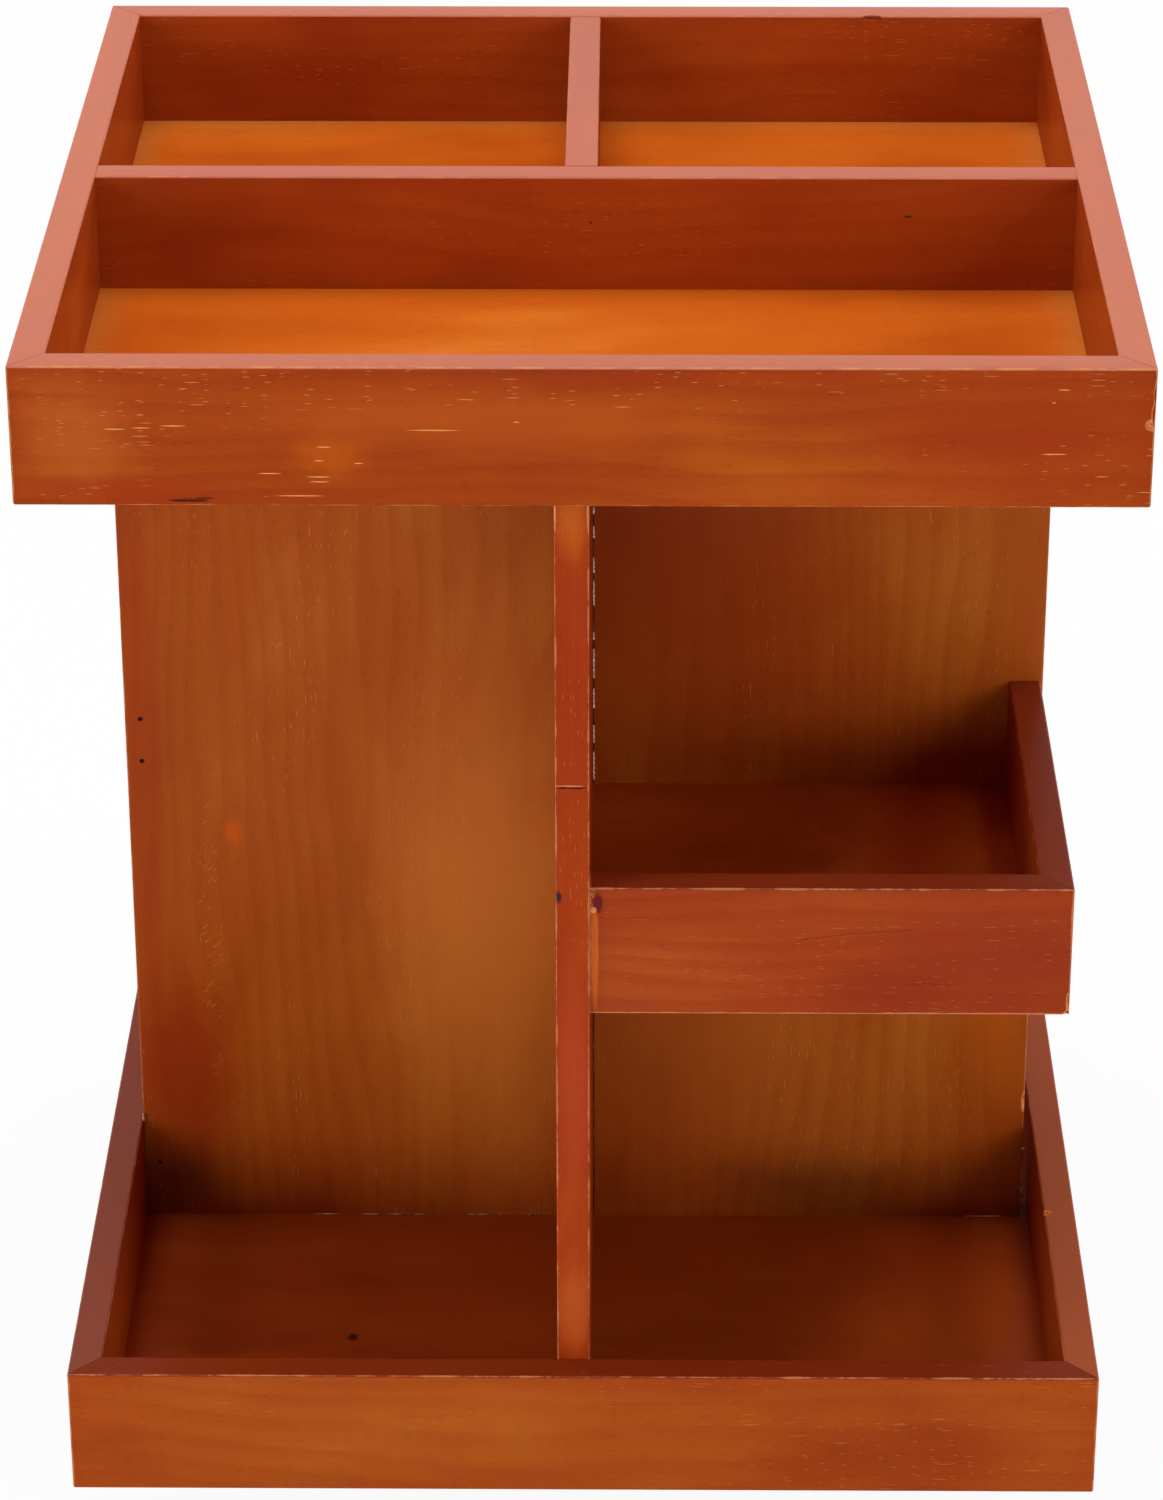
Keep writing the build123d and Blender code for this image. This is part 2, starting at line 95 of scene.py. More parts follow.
class Graph:
    """A node tree that is filled by short calls."""

    def __init__(self, tree: bpy.types.NodeTree) -> None:
        """Take a tree and empty it."""
        self.tree = tree
        self.tree.nodes.clear()

    def node(self, kind: str, **settings: object) -> bpy.types.Node:
        """Add a node.

        Args:
            kind: The node's type, without the leading ShaderNode.
            **settings: Properties to set on the node.

        Returns:
            The new node.
        """
        made = self.tree.nodes.new(kind if kind.startswith("Node") else "ShaderNode" + kind)
        for key, value in settings.items():
            setattr(made, key, value)
        return made

    def feed(self, socket: bpy.types.NodeSocket, value: object) -> None:
        """Connect a socket to another one, or set it to a constant.

        Args:
            socket: The input socket.
            value: The socket to connect it to, or its constant.
        """
        if isinstance(value, bpy.types.NodeSocket):
            self.tree.links.new(value, socket)
        else:
            socket.default_value = value

    def math(self, operation: str, *values: object) -> bpy.types.NodeSocket:
        """Add a Math node.

        Args:
            operation: What it does.
            *values: Sockets or numbers, in the order of its inputs.

        Returns:
            Its result.
        """
        made = self.node("Math", operation=operation)
        for socket, value in zip(made.inputs, values):
            self.feed(socket, value)
        return made.outputs[0]

    def vector(self, operation: str, *values: object) -> bpy.types.NodeSocket:
        """Add a Vector Math node.

        Args:
            operation: What it does.
            *values: Sockets, vectors or numbers, in the order of its inputs.

        Returns:
            Its result: a number for LENGTH and DOT_PRODUCT, else a vector.
        """
        made = self.node("VectorMath", operation=operation)
        for socket, value in zip(made.inputs, values):
            self.feed(socket, value)
        return made.outputs["Value" if operation in ("LENGTH", "DOT_PRODUCT") else "Vector"]

    def parts(self, value: bpy.types.NodeSocket) -> list[bpy.types.NodeSocket]:
        """Split a vector into its three numbers.

        Args:
            value: The vector.

        Returns:
            The three numbers.
        """
        made = self.node("SeparateXYZ")
        self.feed(made.inputs[0], value)
        return list(made.outputs)

    def noise(
        self, place: bpy.types.NodeSocket, cells: Point, detail: float = 2.0, rough: float = 0.5
    ) -> bpy.types.NodeSocket:
        """Add noise whose cells may be stretched.

        Args:
            place: The place that the noise is read at.
            cells: How many cells there are to one unit, along each axis.
            detail: The number of finer octaves.
            rough: How strong the finer octaves are.

        Returns:
            The noise, from 0 to 1.
        """
        made = self.node("TexNoise")
        self.feed(made.inputs["Vector"], self.vector("MULTIPLY", place, cells))
        made.inputs["Scale"].default_value = 1.0
        made.inputs["Detail"].default_value = detail
        made.inputs["Roughness"].default_value = rough
        return made.outputs[0]

    def dashes(
        self, place: bpy.types.NodeSocket, cells: Point, radius: float, share: float
    ) -> bpy.types.NodeSocket:
        """Scatter small stretched spots.

        Args:
            place: The place that the pattern is read at.
            cells: How many cells there are to one unit, along each axis.
            radius: A spot's radius, as a share of its cell.
            share: The share of the cells that holds a spot.

        Returns:
            A mask, 1 inside the spots.
        """
        made = self.node("TexVoronoi")
        self.feed(made.inputs["Vector"], self.vector("MULTIPLY", place, cells))
        made.inputs["Scale"].default_value = 1.0
        inside = self.ease(made.outputs["Distance"], radius * 0.5, radius, 1.0, 0.0)
        lot = self.parts(made.outputs["Color"])[0]
        return self.math("MULTIPLY", inside, self.math("LESS_THAN", lot, share))

    def ease(
        self, value: object, low: object, high: object, start: float = 0.0, end: float = 1.0
    ) -> bpy.types.NodeSocket:
        """Map a range of a value smoothly to another range, and hold it beyond both ends.

        Args:
            value: The value.
            low: Where its range starts.
            high: Where its range ends.
            start: What it becomes at and below low.
            end: What it becomes at and above high.

        Returns:
            The mapped value.
        """
        made = self.node("MapRange", interpolation_type="SMOOTHSTEP")
        for socket, number in zip(made.inputs, (value, low, high, start, end)):
            self.feed(socket, number)
        return made.outputs[0]

    def mix(
        self, share: object, below: object, above: object, blend: str = "MIX"
    ) -> bpy.types.NodeSocket:
        """Mix two colours.

        Args:
            share: How much of the upper colour shows.
            below: The lower colour.
            above: The upper colour.
            blend: The way that they are blended.

        Returns:
            The mixed colour.
        """
        made = self.node("Mix", data_type="RGBA", blend_type=blend)
        self.feed(made.inputs[0], share)
        lower, upper = [socket for socket in made.inputs if socket.type == "RGBA"]
        self.feed(lower, below)
        self.feed(upper, above)
        return [socket for socket in made.outputs if socket.type == "RGBA"][0]

    def group(self, tree: bpy.types.NodeTree, **values: object) -> bpy.types.Node:
        """Add a node group.

        Args:
            tree: The group.
            **values: What its inputs are fed with, by their names.

        Returns:
            Its node.
        """
        made = self.node("Group")
        made.node_tree = tree
        for name, value in values.items():
            self.feed(made.inputs[name], value)
        return made


def new_group(name: str, takes: dict[str, str], gives: tuple[str, ...]) -> tuple[Graph, bpy.types.Node]:
    """Start a node group.

    Args:
        name: The group's name.
        takes: The inputs' names, each with its kind, Float or Vector.
        gives: The names of the outputs, which are all numbers.

    Returns:
        The group's graph and its input node.
    """
    graph = Graph(bpy.data.node_groups.new(name, "ShaderNodeTree"))
    for title, kind in takes.items():
        graph.tree.interface.new_socket(name=title, in_out="INPUT", socket_type="NodeSocket" + kind)
    for title in gives:
        graph.tree.interface.new_socket(name=title, in_out="OUTPUT", socket_type="NodeSocketFloat")
    return graph, graph.node("NodeGroupInput")


def end_group(graph: Graph, **results: bpy.types.NodeSocket) -> bpy.types.NodeTree:
    """End a node group.

    Args:
        graph: The group's graph.
        **results: Its results, by the names of its outputs.

    Returns:
        The group.
    """
    out = graph.node("NodeGroupOutput")
    for name, value in results.items():
        graph.feed(out.inputs[name], value)
    return graph.tree


class WoodPatterns:
    """The patterns that all the boards share, as node groups that read places in millimetres.

    Attributes:
        ring_gap: The distance between two growth rings, in millimetres.
        sway: How far the rings wander over a board's length, in millimetres.
        waver: How far they waver from one place to the next, in millimetres.
        near: Where the darker band along an edge starts to fade and where it ends, in millimetres.
        drift: How far that band wanders, in millimetres.
    """

    ring_gap = 6.4
    sway = 46.0
    waver = 5.0
    near = (2.0, 15.0)
    drift = 9.0

    def __init__(self) -> None:
        """Make the four groups."""
        self.grain = self._grain()
        self.arris = self._arris()
        self.spot = self._spot()
        self.crack = self._crack()

    def figure(
        self, graph: Graph, point: bpy.types.NodeSocket, node: str, grain: Grain, pith: Vector
    ) -> bpy.types.Node:
        """Add the figure of one board.

        Args:
            graph: The material's graph.
            point: The place on the board, in millimetres.
            node: The board's node.
            grain: The way its grain runs.
            pith: From the board's middle to the tree's pith, in millimetres with X along the grain.

        Returns:
            The grain's node.
        """
        centre, _ = node_box(node)
        turn = Euler(grain.value)
        along = graph.node("Mapping")
        graph.feed(along.inputs["Vector"], point)
        along.inputs["Rotation"].default_value = turn
        along.inputs["Location"].default_value = pith - turn.to_matrix() @ centre
        return graph.group(self.grain, Place=along.outputs[0])

    def _grain(self) -> bpy.types.NodeTree:
        """Make the figure of a pale, close-grained wood whose grain runs along X, with its pith on the X axis.

        Returns:
            The group.
        """
        graph, given = new_group(
            "wood_grain", {"Place": "Vector"}, ("Rings", "Fibre", "Pores", "Flecks", "Clouds", "Relief")
        )
        place = given.outputs["Place"]
        _, across, depth = graph.parts(place)
        out = graph.math(
            "SQRT",
            graph.math("ADD", graph.math("MULTIPLY", across, across), graph.math("MULTIPLY", depth, depth)),
        )
        sway = graph.math("MULTIPLY", graph.noise(place, (0.0045, 0.016, 0.016), 2.0), self.sway)
        waver = graph.math("MULTIPLY", graph.noise(place, (0.02, 0.11, 0.11), 3.0), self.waver)
        grown = graph.math("DIVIDE", graph.math("ADD", graph.math("ADD", out, sway), waver), self.ring_gap)
        turn = graph.math("FRACT", grown)
        rings = graph.math(
            "MULTIPLY", graph.ease(turn, 0.2, 0.86), graph.ease(turn, 0.88, 1.0, 1.0, 0.0)
        )
        combed = graph.noise(place, (0.03, 1.2, 1.2), 5.0, 0.62)
        mottled = graph.noise(place, (0.14, 0.5, 0.5), 6.0, 0.72)
        fibre = graph.math("ADD", graph.math("MULTIPLY", combed, 0.5), graph.math("MULTIPLY", mottled, 0.5))
        pores = graph.dashes(place, (0.26, 2.0, 2.0), 0.26, 0.45)
        crowd = graph.ease(graph.noise(place, (0.012, 0.05, 0.05), 2.0), 0.44, 0.62)
        short = graph.dashes(place, (0.22, 2.1, 2.1), 0.22, 0.4)
        long = graph.dashes(place, (0.085, 1.5, 1.5), 0.2, 0.22)
        flecks = graph.math("MULTIPLY", graph.math("MAXIMUM", short, long), crowd)
        clouds = graph.noise(place, (0.009, 0.02, 0.02), 3.0, 0.55)
        relief = graph.math(
            "SUBTRACT",
            graph.math("MULTIPLY", fibre, 0.5),
            graph.math("ADD", graph.math("MULTIPLY", pores, 0.55), graph.math("MULTIPLY", flecks, 0.7)),
        )
        return end_group(
            graph, Rings=rings, Fibre=fibre, Pores=pores, Flecks=flecks, Clouds=clouds, Relief=relief
        )

    def _arris(self) -> bpy.types.NodeTree:
        """Make the wear along a straight board's edges, which lie where its box ends in two directions at once.

        Returns:
            The group.
        """
        graph, given = new_group(
            "worn_arris",
            {"Point": "Vector", "Centre": "Vector", "Half": "Vector", "Width": "Float"},
            ("Worn", "Near"),
        )
        point = given.outputs["Point"]
        outward = graph.vector("ABSOLUTE", graph.vector("SUBTRACT", point, given.outputs["Centre"]))
        first, second, third = graph.parts(graph.vector("SUBTRACT", given.outputs["Half"], outward))
        middle = graph.math(
            "MAXIMUM",
            graph.math("MINIMUM", first, second),
            graph.math("MINIMUM", graph.math("MAXIMUM", first, second), third),
        )
        ragged = graph.noise(point, (0.11, 0.11, 0.11), 4.0, 0.7)
        fine = graph.noise(point, (1.1, 1.1, 1.1), 2.0, 0.6)
        swell = graph.math("ADD", graph.ease(ragged, 0.4, 0.66, 0.3, 1.25), graph.math("MULTIPLY", fine, 0.7))
        width = graph.math("MULTIPLY", given.outputs["Width"], swell)
        worn = graph.ease(graph.math("DIVIDE", middle, width), 0.45, 1.0, 1.0, 0.0)
        drift = graph.math("MULTIPLY", graph.noise(point, (0.03, 0.03, 0.03), 2.0), self.drift)
        near = graph.ease(graph.math("ADD", middle, drift), *self.near, 1.0, 0.0)
        return end_group(graph, Worn=worn, Near=near)

    def _spot(self) -> bpy.types.NodeTree:
        """Make a spot with an uneven rim.

        Returns:
            The group.
        """
        graph, given = new_group(
            "spot",
            {"Point": "Vector", "Centre": "Vector", "Reach": "Vector", "Ragged": "Float", "Soft": "Float"},
            ("Inside",),
        )
        offset = graph.vector("SUBTRACT", given.outputs["Point"], given.outputs["Centre"])
        scaled = graph.vector("DIVIDE", offset, given.outputs["Reach"])
        rough = graph.math("SUBTRACT", graph.noise(scaled, (1.7, 1.7, 1.7), 4.0, 0.65), 0.5)
        away = graph.math(
            "ADD", graph.vector("LENGTH", scaled), graph.math("MULTIPLY", rough, given.outputs["Ragged"])
        )
        inner = graph.math("SUBTRACT", 1.0, given.outputs["Soft"])
        return end_group(graph, Inside=graph.ease(away, inner, 1.0, 1.0, 0.0))

    def _crack(self) -> bpy.types.NodeTree:
        """Make a hairline that starts at a point and runs for a length in a direction.

        Returns:
            The group.
        """
        graph, given = new_group(
            "crack",
            {"Point": "Vector", "Start": "Vector", "Ahead": "Vector", "Length": "Float", "Width": "Float"},
            ("Inside",),
        )
        offset = graph.vector("SUBTRACT", given.outputs["Point"], given.outputs["Start"])
        run = graph.vector("DOT_PRODUCT", offset, given.outputs["Ahead"])
        away = graph.vector("LENGTH", graph.vector("CROSS_PRODUCT", offset, given.outputs["Ahead"]))
        rough = graph.ease(graph.noise(given.outputs["Point"], (1.4, 1.4, 1.4), 3.0, 0.7), 0.3, 0.7, 0.35, 1.4)
        share = graph.math("DIVIDE", away, graph.math("MULTIPLY", given.outputs["Width"], rough))
        inside = graph.math("MULTIPLY", graph.ease(share, 0.4, 1.0, 1.0, 0.0), graph.math("GREATER_THAN", run, 0.0))
        ended = graph.math("LESS_THAN", run, given.outputs["Length"])
        return end_group(graph, Inside=graph.math("MULTIPLY", inside, ended))


@dataclass(frozen=True)
class Spot:
    """A mark on a board: a knot, a patch of thin stain, a worn place, painted shade or painted light.

    Attributes:
        centre: Its middle, in millimetres in the model's frame.
        reach: How far it goes from its middle along each axis, in millimetres.
        colour: Its colour.
        strength: How much it covers.
        ragged: How uneven its rim is.
        soft: The share of it over which it fades out.
    """

    centre: Point
    reach: Point
    colour: Colour
    strength: float = 1.0
    ragged: float = 0.8
    soft: float = 0.5


@dataclass(frozen=True)
class Chatter:
    """A band of short slanted ticks that a planer left across the grain.

    Attributes:
        centre: Its middle, in millimetres in the model's frame.
        reach: How far it goes from its middle along each axis, in millimetres.
        slant: How far the ticks lean from the X axis, in degrees.
        colour: The ticks' colour.
        strength: How much they cover.
    """

    centre: Point
    reach: Point
    slant: float
    colour: Colour
    strength: float = 0.5


@dataclass(frozen=True)
class Crack:
    """A dark hairline: the line of a mitre, or a check in the wood.

    Attributes:
        start: Where it starts, in millimetres in the model's frame.
        end: Where it ends.
        width: How far it reaches to either side, in millimetres.
        colour: Its colour.
        strength: How much it covers.
    """

    start: Point
    end: Point
    width: float = 0.16
    colour: Colour = paint(84, 28, 14)
    strength: float = 0.75


@dataclass(frozen=True)
class Bite:
    """A place where wood broke out of a board.

    Attributes:
        centre: Its middle, in millimetres in the model's frame.
        reach: How far it goes from its middle along each axis, in millimetres.
        seed: Picks the shape of the break.
        colour: The colour of the bared wood.
    """

    centre: Point
    reach: Point
    seed: int
    colour: Colour = paint(226, 140, 84)


@dataclass(frozen=True)
class Stain:
    """A transparent stain on wood under a satin coat.

    Attributes:
        body: The main colour.
        thin: Where the wood took little stain.
        deep: Latewood, pores and places that took much.
        edge: Along the board's edges.
        worn: Where an edge is rubbed through.
        edge_share: How much of the edge colour shows.
        ring_share: How strong the growth rings are.
        fibre_share: How strong the fibres are.
    """

    body: Colour
    thin: Colour
    deep: Colour
    edge: Colour
    worn: Colour = paint(214, 134, 92)
    edge_share: float = 0.5
    ring_share: float = 0.2
    fibre_share: float = 0.2


HONEY = Stain(
    paint(153, 62, 9), paint(172, 82, 16), paint(134, 42, 8), paint(148, 46, 10), paint(204, 142, 82),
    edge_share=0.4, ring_share=0.3,
)
OCHRE = Stain(paint(162, 74, 16), paint(172, 88, 24), paint(140, 50, 12), paint(152, 52, 14), edge_share=0.3)
OLIVE = Stain(
    paint(165, 78, 20), paint(178, 96, 30), paint(144, 54, 14), paint(158, 60, 16),
    edge_share=0.1, ring_share=0.24, fibre_share=0.16,
)
BRICK = Stain(paint(163, 67, 19), paint(175, 81, 26), paint(139, 46, 13), paint(151, 52, 16), edge_share=0.3)
RUSSET = Stain(paint(156, 53, 9), paint(170, 68, 13), paint(134, 36, 8), paint(144, 42, 10), edge_share=0.3)
CORAL = Stain(
    paint(151, 59, 18), paint(165, 74, 25), paint(132, 43, 14), paint(142, 47, 18),
    edge_share=0.3, ring_share=0.3,
)
AMBER = Stain(
    paint(200, 95, 22), paint(213, 114, 36), paint(182, 77, 16), paint(216, 132, 58),
    edge_share=0.6, ring_share=0.08, fibre_share=0.2,
)
UMBER = Stain(
    paint(150, 62, 16), paint(164, 76, 22), paint(124, 42, 12), paint(150, 56, 16),
    ring_share=0.05, fibre_share=0.15,
)


@dataclass(frozen=True)
class Board:
    """How one board looks.

    Attributes:
        node: The node that it dresses.
        stain: Its stain.
        grain: The way its grain runs.
        pith: From the board's middle to the tree's pith, in millimetres with X along the grain.
        flecks: How many pale pores it shows, from 0 to 1.
        wear: The width of the rubbed line on its edges, in millimetres.
        spots: The marks on it, from the lowest to the topmost.
        chatter: The bands of planer marks on it.
        cracks: The hairlines on it.
        bites: The places where wood broke out of it.
        buried: For its low and its high end along each axis, 1 where a joint hides it, so that it isn't worn.
        body: The body that it rides on.
    """

    node: str
    stain: Stain
    grain: Grain
    pith: Point = (0.0, 9.0, 52.0)
    flecks: float = 0.25
    wear: float = 0.42
    spots: tuple[Spot, ...] = ()
    chatter: tuple[Chatter, ...] = ()
    cracks: tuple[Crack, ...] = ()
    bites: tuple[Bite, ...] = ()
    buried: tuple[Point, Point] = ((0, 0, 0), (0, 0, 0))
    body: str = "turntable"

    def worn_box(self) -> tuple[Vector, Vector]:
        """Find the box whose edges are worn.

        Returns:
            Its middle and its half size, in millimetres.
        """
        centre, half = node_box(self.node)
        low, high = (Vector(ends) * BURIED for ends in self.buried)
        return centre + (high - low) / 2, half + (high + low) / 2


def painted_top_light(height: float, colour: Colour, strength: float) -> Spot:
    """Make a spot that paints light or shade over all of a board's top face: painted sheen where it is paler,
    painted shade where it is darker.

    Args:
        height: The face's height, in millimetres.
        colour: The painted colour of the face's sheen or shade.
        strength: How much it covers.

    Returns:
        The spot.
    """
    return Spot((0.0, 0.0, height), (900.0, 900.0, 0.6), colour, strength, 0.1, 0.3)


def mitres(half: float, height: float, thickness: float = 8.0) -> tuple[Crack, ...]:
    """Make the lines of a square tray's four mitres.

    Args:
        half: The tray's half width, in millimetres.
        height: The height of its rims' tops, in millimetres.
        thickness: The rims' thickness, in millimetres.

    Returns:
        A hairline for each corner.
    """
    inner = half - thickness
    return tuple(
        Crack((x * inner, y * inner, height), (x * half, y * half, height)) for x in (-1, 1) for y in (-1, 1)
    )


def pale_pores(depth: float, *pores: tuple[float, float, float]) -> tuple[Spot, ...]:
    """Make long pale pores on a face that looks to the front.

    Args:
        depth: The face's place along Y, in millimetres.
        *pores: Each pore's middle along X, its height and its length, in millimetres.

    Returns:
        A spot for each pore.
    """
    tone = paint(230, 160, 96)
    return tuple(Spot((x, depth, z), (length / 2, 1.0, 0.17), tone, 0.8, 0.5, 0.5) for x, z, length in pores)


def node_box(name: str) -> tuple[Vector, Vector]:
    """Give the middle and the half size of a node's box, in millimetres."""
    low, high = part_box(name)
    return (low + high) / 2 / MM, (high - low) / 2 / MM


def start_finish(name: str) -> tuple[bpy.types.Material, Graph, bpy.types.NodeSocket]:
    """Start a material.

    Args:
        name: The material's name.

    Returns:
        The material, its graph, and the place on the object in millimetres.
    """
    made = bpy.data.materials.new(name)
    made.use_nodes = True
    graph = Graph(made.node_tree)
    return made, graph, graph.vector("MULTIPLY", graph.node("TexCoord").outputs["Object"], (1 / MM,) * 3)


def end_finish(
    graph: Graph,
    colour: bpy.types.NodeSocket,
    rough: bpy.types.NodeSocket,
    height: bpy.types.NodeSocket,
    bump_share: float,
    depth: float,
) -> bpy.types.Node:
    """End a material with its shader.

    Args:
        graph: The material's graph.
        colour: Its colour.
        rough: Its roughness.
        height: Its relief.
        bump_share: How much of the relief shows.
        depth: The relief's depth, in millimetres.

    Returns:
        The shader's node, for what else is set on it.
    """
    bump = graph.node("Bump")
    bump.inputs["Strength"].default_value = bump_share
    bump.inputs["Distance"].default_value = depth * MM
    graph.feed(bump.inputs["Height"], height)
    shader = graph.node("BsdfPrincipled")
    graph.feed(shader.inputs["Base Color"], colour)
    graph.feed(shader.inputs["Roughness"], rough)
    graph.feed(shader.inputs["Normal"], bump.outputs[0])
    graph.feed(graph.node("OutputMaterial").inputs["Surface"], shader.outputs[0])
    return shader


def assign(piece: bpy.types.Object, material: bpy.types.Material) -> None:
    """Put a material on the whole of a piece.

    Args:
        piece: The piece.
        material: The material.
    """
    if not piece.material_slots:
        piece.data.materials.append(material)
    for slot in piece.material_slots:
        slot.material = material


@dataclass(frozen=True)
class SatinWood:
    """Stained boards under a satin coat.

    Attributes:
        patterns: The patterns that the boards share.
        roughness: Of the wood itself.
        specular: How strongly the wood itself reflects.
        coat: The weight of the coat.
        coat_index: The coat's index of refraction.
        coat_roughness: The roughness of the coat.
        relief: The depth of the pores and fibres, in millimetres.
        relief_share: How much of the relief shows.
        wear_share: How much of the bare wood shows on rubbed edges.
        stagger: How far one board's figure is moved along the grain from the last one's, in millimetres.
        pore: The colour of the dark pores.
        fleck: The colour of the pale pores.
    """

    patterns: WoodPatterns
    roughness: float = 0.5
    specular: float = 0.0
    coat: float = 0.6
    coat_index: float = 1.2
    coat_roughness: float = 0.3
    relief: float = 0.09
    relief_share: float = 0.6
    wear_share: float = 0.62
    stagger: float = 137.0
    pore: Colour = paint(96, 34, 12)
    fleck: Colour = paint(224, 152, 88)

    def material(self, board: Board, order: int) -> bpy.types.Material:
        """Make a board's material.

        Args:
            board: How the board looks.
            order: The board's number, which shifts its figure along the grain.

        Returns:
            The new material.
        """
        made, graph, point = start_finish(f"stained_{board.node}")
        pith = Vector(board.pith) + Vector((self.stagger * order, 0.0, 0.0))
        figure = self.patterns.figure(graph, point, board.node, board.grain, pith)
        centre, half = board.worn_box()
        arris = graph.group(
            self.patterns.arris, Point=point, Centre=tuple(centre), Half=tuple(half), Width=board.wear
        )
        colour, cover = self._colour(graph, board, point, figure, arris)
        rough = graph.ease(figure.outputs["Fibre"], 0.3, 0.7, self.roughness - 0.06, self.roughness + 0.06)
        dips = graph.math("ADD", cover, graph.math("MULTIPLY", arris.outputs["Worn"], 0.8))
        height = graph.math("SUBTRACT", figure.outputs["Relief"], dips)
        shader = end_finish(graph, colour, rough, height, self.relief_share, self.relief)
        shader.inputs["Specular IOR Level"].default_value = self.specular
        shader.inputs["Coat Weight"].default_value = self.coat
        shader.inputs["Coat IOR"].default_value = self.coat_index
        shader.inputs["Coat Roughness"].default_value = self.coat_roughness
        return made

    def _colour(
        self,
        graph: Graph,
        board: Board,
        point: bpy.types.NodeSocket,
        figure: bpy.types.Node,
        arris: bpy.types.Node,
    ) -> tuple[bpy.types.NodeSocket, bpy.types.NodeSocket]:
        """Lay the stain, the marks and the wear over each other.

        Args:
            graph: The material's graph.
            board: How the board looks.
            point: The place on the board, in millimetres.
            figure: The grain's node.
            arris: The edge wear's node.

        Returns:
            The colour, and the mask of the pale pores.
        """
        stain = board.stain
        clouds = figure.outputs["Clouds"]
        colour = graph.mix(graph.ease(clouds, 0.5, 0.72), stain.body, stain.thin)
        colour = graph.mix(graph.ease(clouds, 0.5, 0.3, 0.0, 0.85), colour, stain.deep)
        colour = graph.mix(
            graph.math("MULTIPLY", arris.outputs["Near"], stain.edge_share), colour, stain.edge
        )
        colour = graph.mix(graph.math("MULTIPLY", figure.outputs["Rings"], stain.ring_share), colour, stain.deep)
        streaks = graph.ease(figure.outputs["Fibre"], 0.42, 0.66, 0.0, stain.fibre_share)
        colour = graph.mix(streaks, colour, stain.deep)
        lights = graph.ease(figure.outputs["Fibre"], 0.48, 0.3, 0.0, stain.fibre_share * 0.8)
        colour = graph.mix(lights, colour, stain.thin)
        colour = graph.mix(graph.math("MULTIPLY", figure.outputs["Pores"], 0.35), colour, self.pore)
        bared = tuple(
            Spot(bite.centre, tuple(1.2 * part for part in bite.reach), bite.colour, 0.9, 0.5, 0.3)
            for bite in board.bites
        )
        for spot in board.spots + bared:
            mask = self._inside(graph, point, spot.centre, spot.reach, spot.ragged, spot.soft)
            colour = graph.mix(graph.math("MULTIPLY", mask, spot.strength), colour, spot.colour)
        for band in board.chatter:
            mask = self._inside(graph, point, band.centre, band.reach, 0.9, 0.7)
            leaning = graph.node("Mapping")
            graph.feed(leaning.inputs["Vector"], point)
            leaning.inputs["Rotation"].default_value = (0.0, math.radians(band.slant), 0.0)
            ticks = graph.dashes(leaning.outputs[0], (0.24, 0.9, 1.25), 0.3, 0.6)
            shown = graph.math("MULTIPLY", graph.math("MULTIPLY", mask, ticks), band.strength)
            colour = graph.mix(shown, colour, band.colour)
        for crack in board.cracks:
            run = Vector(crack.end) - Vector(crack.start)
            line = graph.group(
                self.patterns.crack, Point=point, Start=crack.start, Ahead=tuple(run.normalized()),
                Length=run.length, Width=crack.width,
            )
            colour = graph.mix(graph.math("MULTIPLY", line.outputs[0], crack.strength), colour, crack.colour)
        pale = graph.math("MULTIPLY", figure.outputs["Flecks"], board.flecks)
        colour = graph.mix(pale, colour, self.fleck)
        worn = graph.math("MULTIPLY", arris.outputs["Worn"], self.wear_share)
        return graph.mix(worn, colour, stain.worn), pale

    def _inside(
        self, graph: Graph, point: bpy.types.NodeSocket, centre: Point, reach: Point, ragged: float, soft: float
    ) -> bpy.types.NodeSocket:
        """Add the mask of a spot.

        Args:
            graph: The material's graph.
            point: The place on the board, in millimetres.
            centre: The spot's middle, in millimetres.
            reach: How far it goes from its middle along each axis, in millimetres.
            ragged: How uneven its rim is.
            soft: The share of it over which it fades out.

        Returns:
            The mask, 1 inside the spot.
        """
        return graph.group(
            self.patterns.spot, Point=point, Centre=centre, Reach=reach, Ragged=ragged, Soft=soft
        ).outputs[0]


@dataclass(frozen=True)
class DriedGlue:
    """Glue that squeezed out of a joint and took up some of the stain.

    Attributes:
        name: The material's name.
        clear: Its colour where it is clean.
        dirty: Its colour where it took up stain.
    """

    name: str = "dried_glue"
    clear: Colour = paint(206, 158, 110)
    dirty: Colour = paint(112, 48, 18)

    def material(self) -> bpy.types.Material:
        """Make the material.

        Returns:
            The new material.
        """
        made, graph, point = start_finish(self.name)
        lumps = graph.noise(point, (0.5, 0.5, 0.5), 3.0, 0.6)
        colour = graph.mix(graph.ease(lumps, 0.4, 0.62), self.dirty, self.clear)
        rough = graph.ease(lumps, 0.3, 0.7, 0.3, 0.5)
        end_finish(graph, colour, rough, graph.noise(point, (3.0, 3.0, 3.0), 2.0), bump_share=0.5, depth=0.08)
        return made


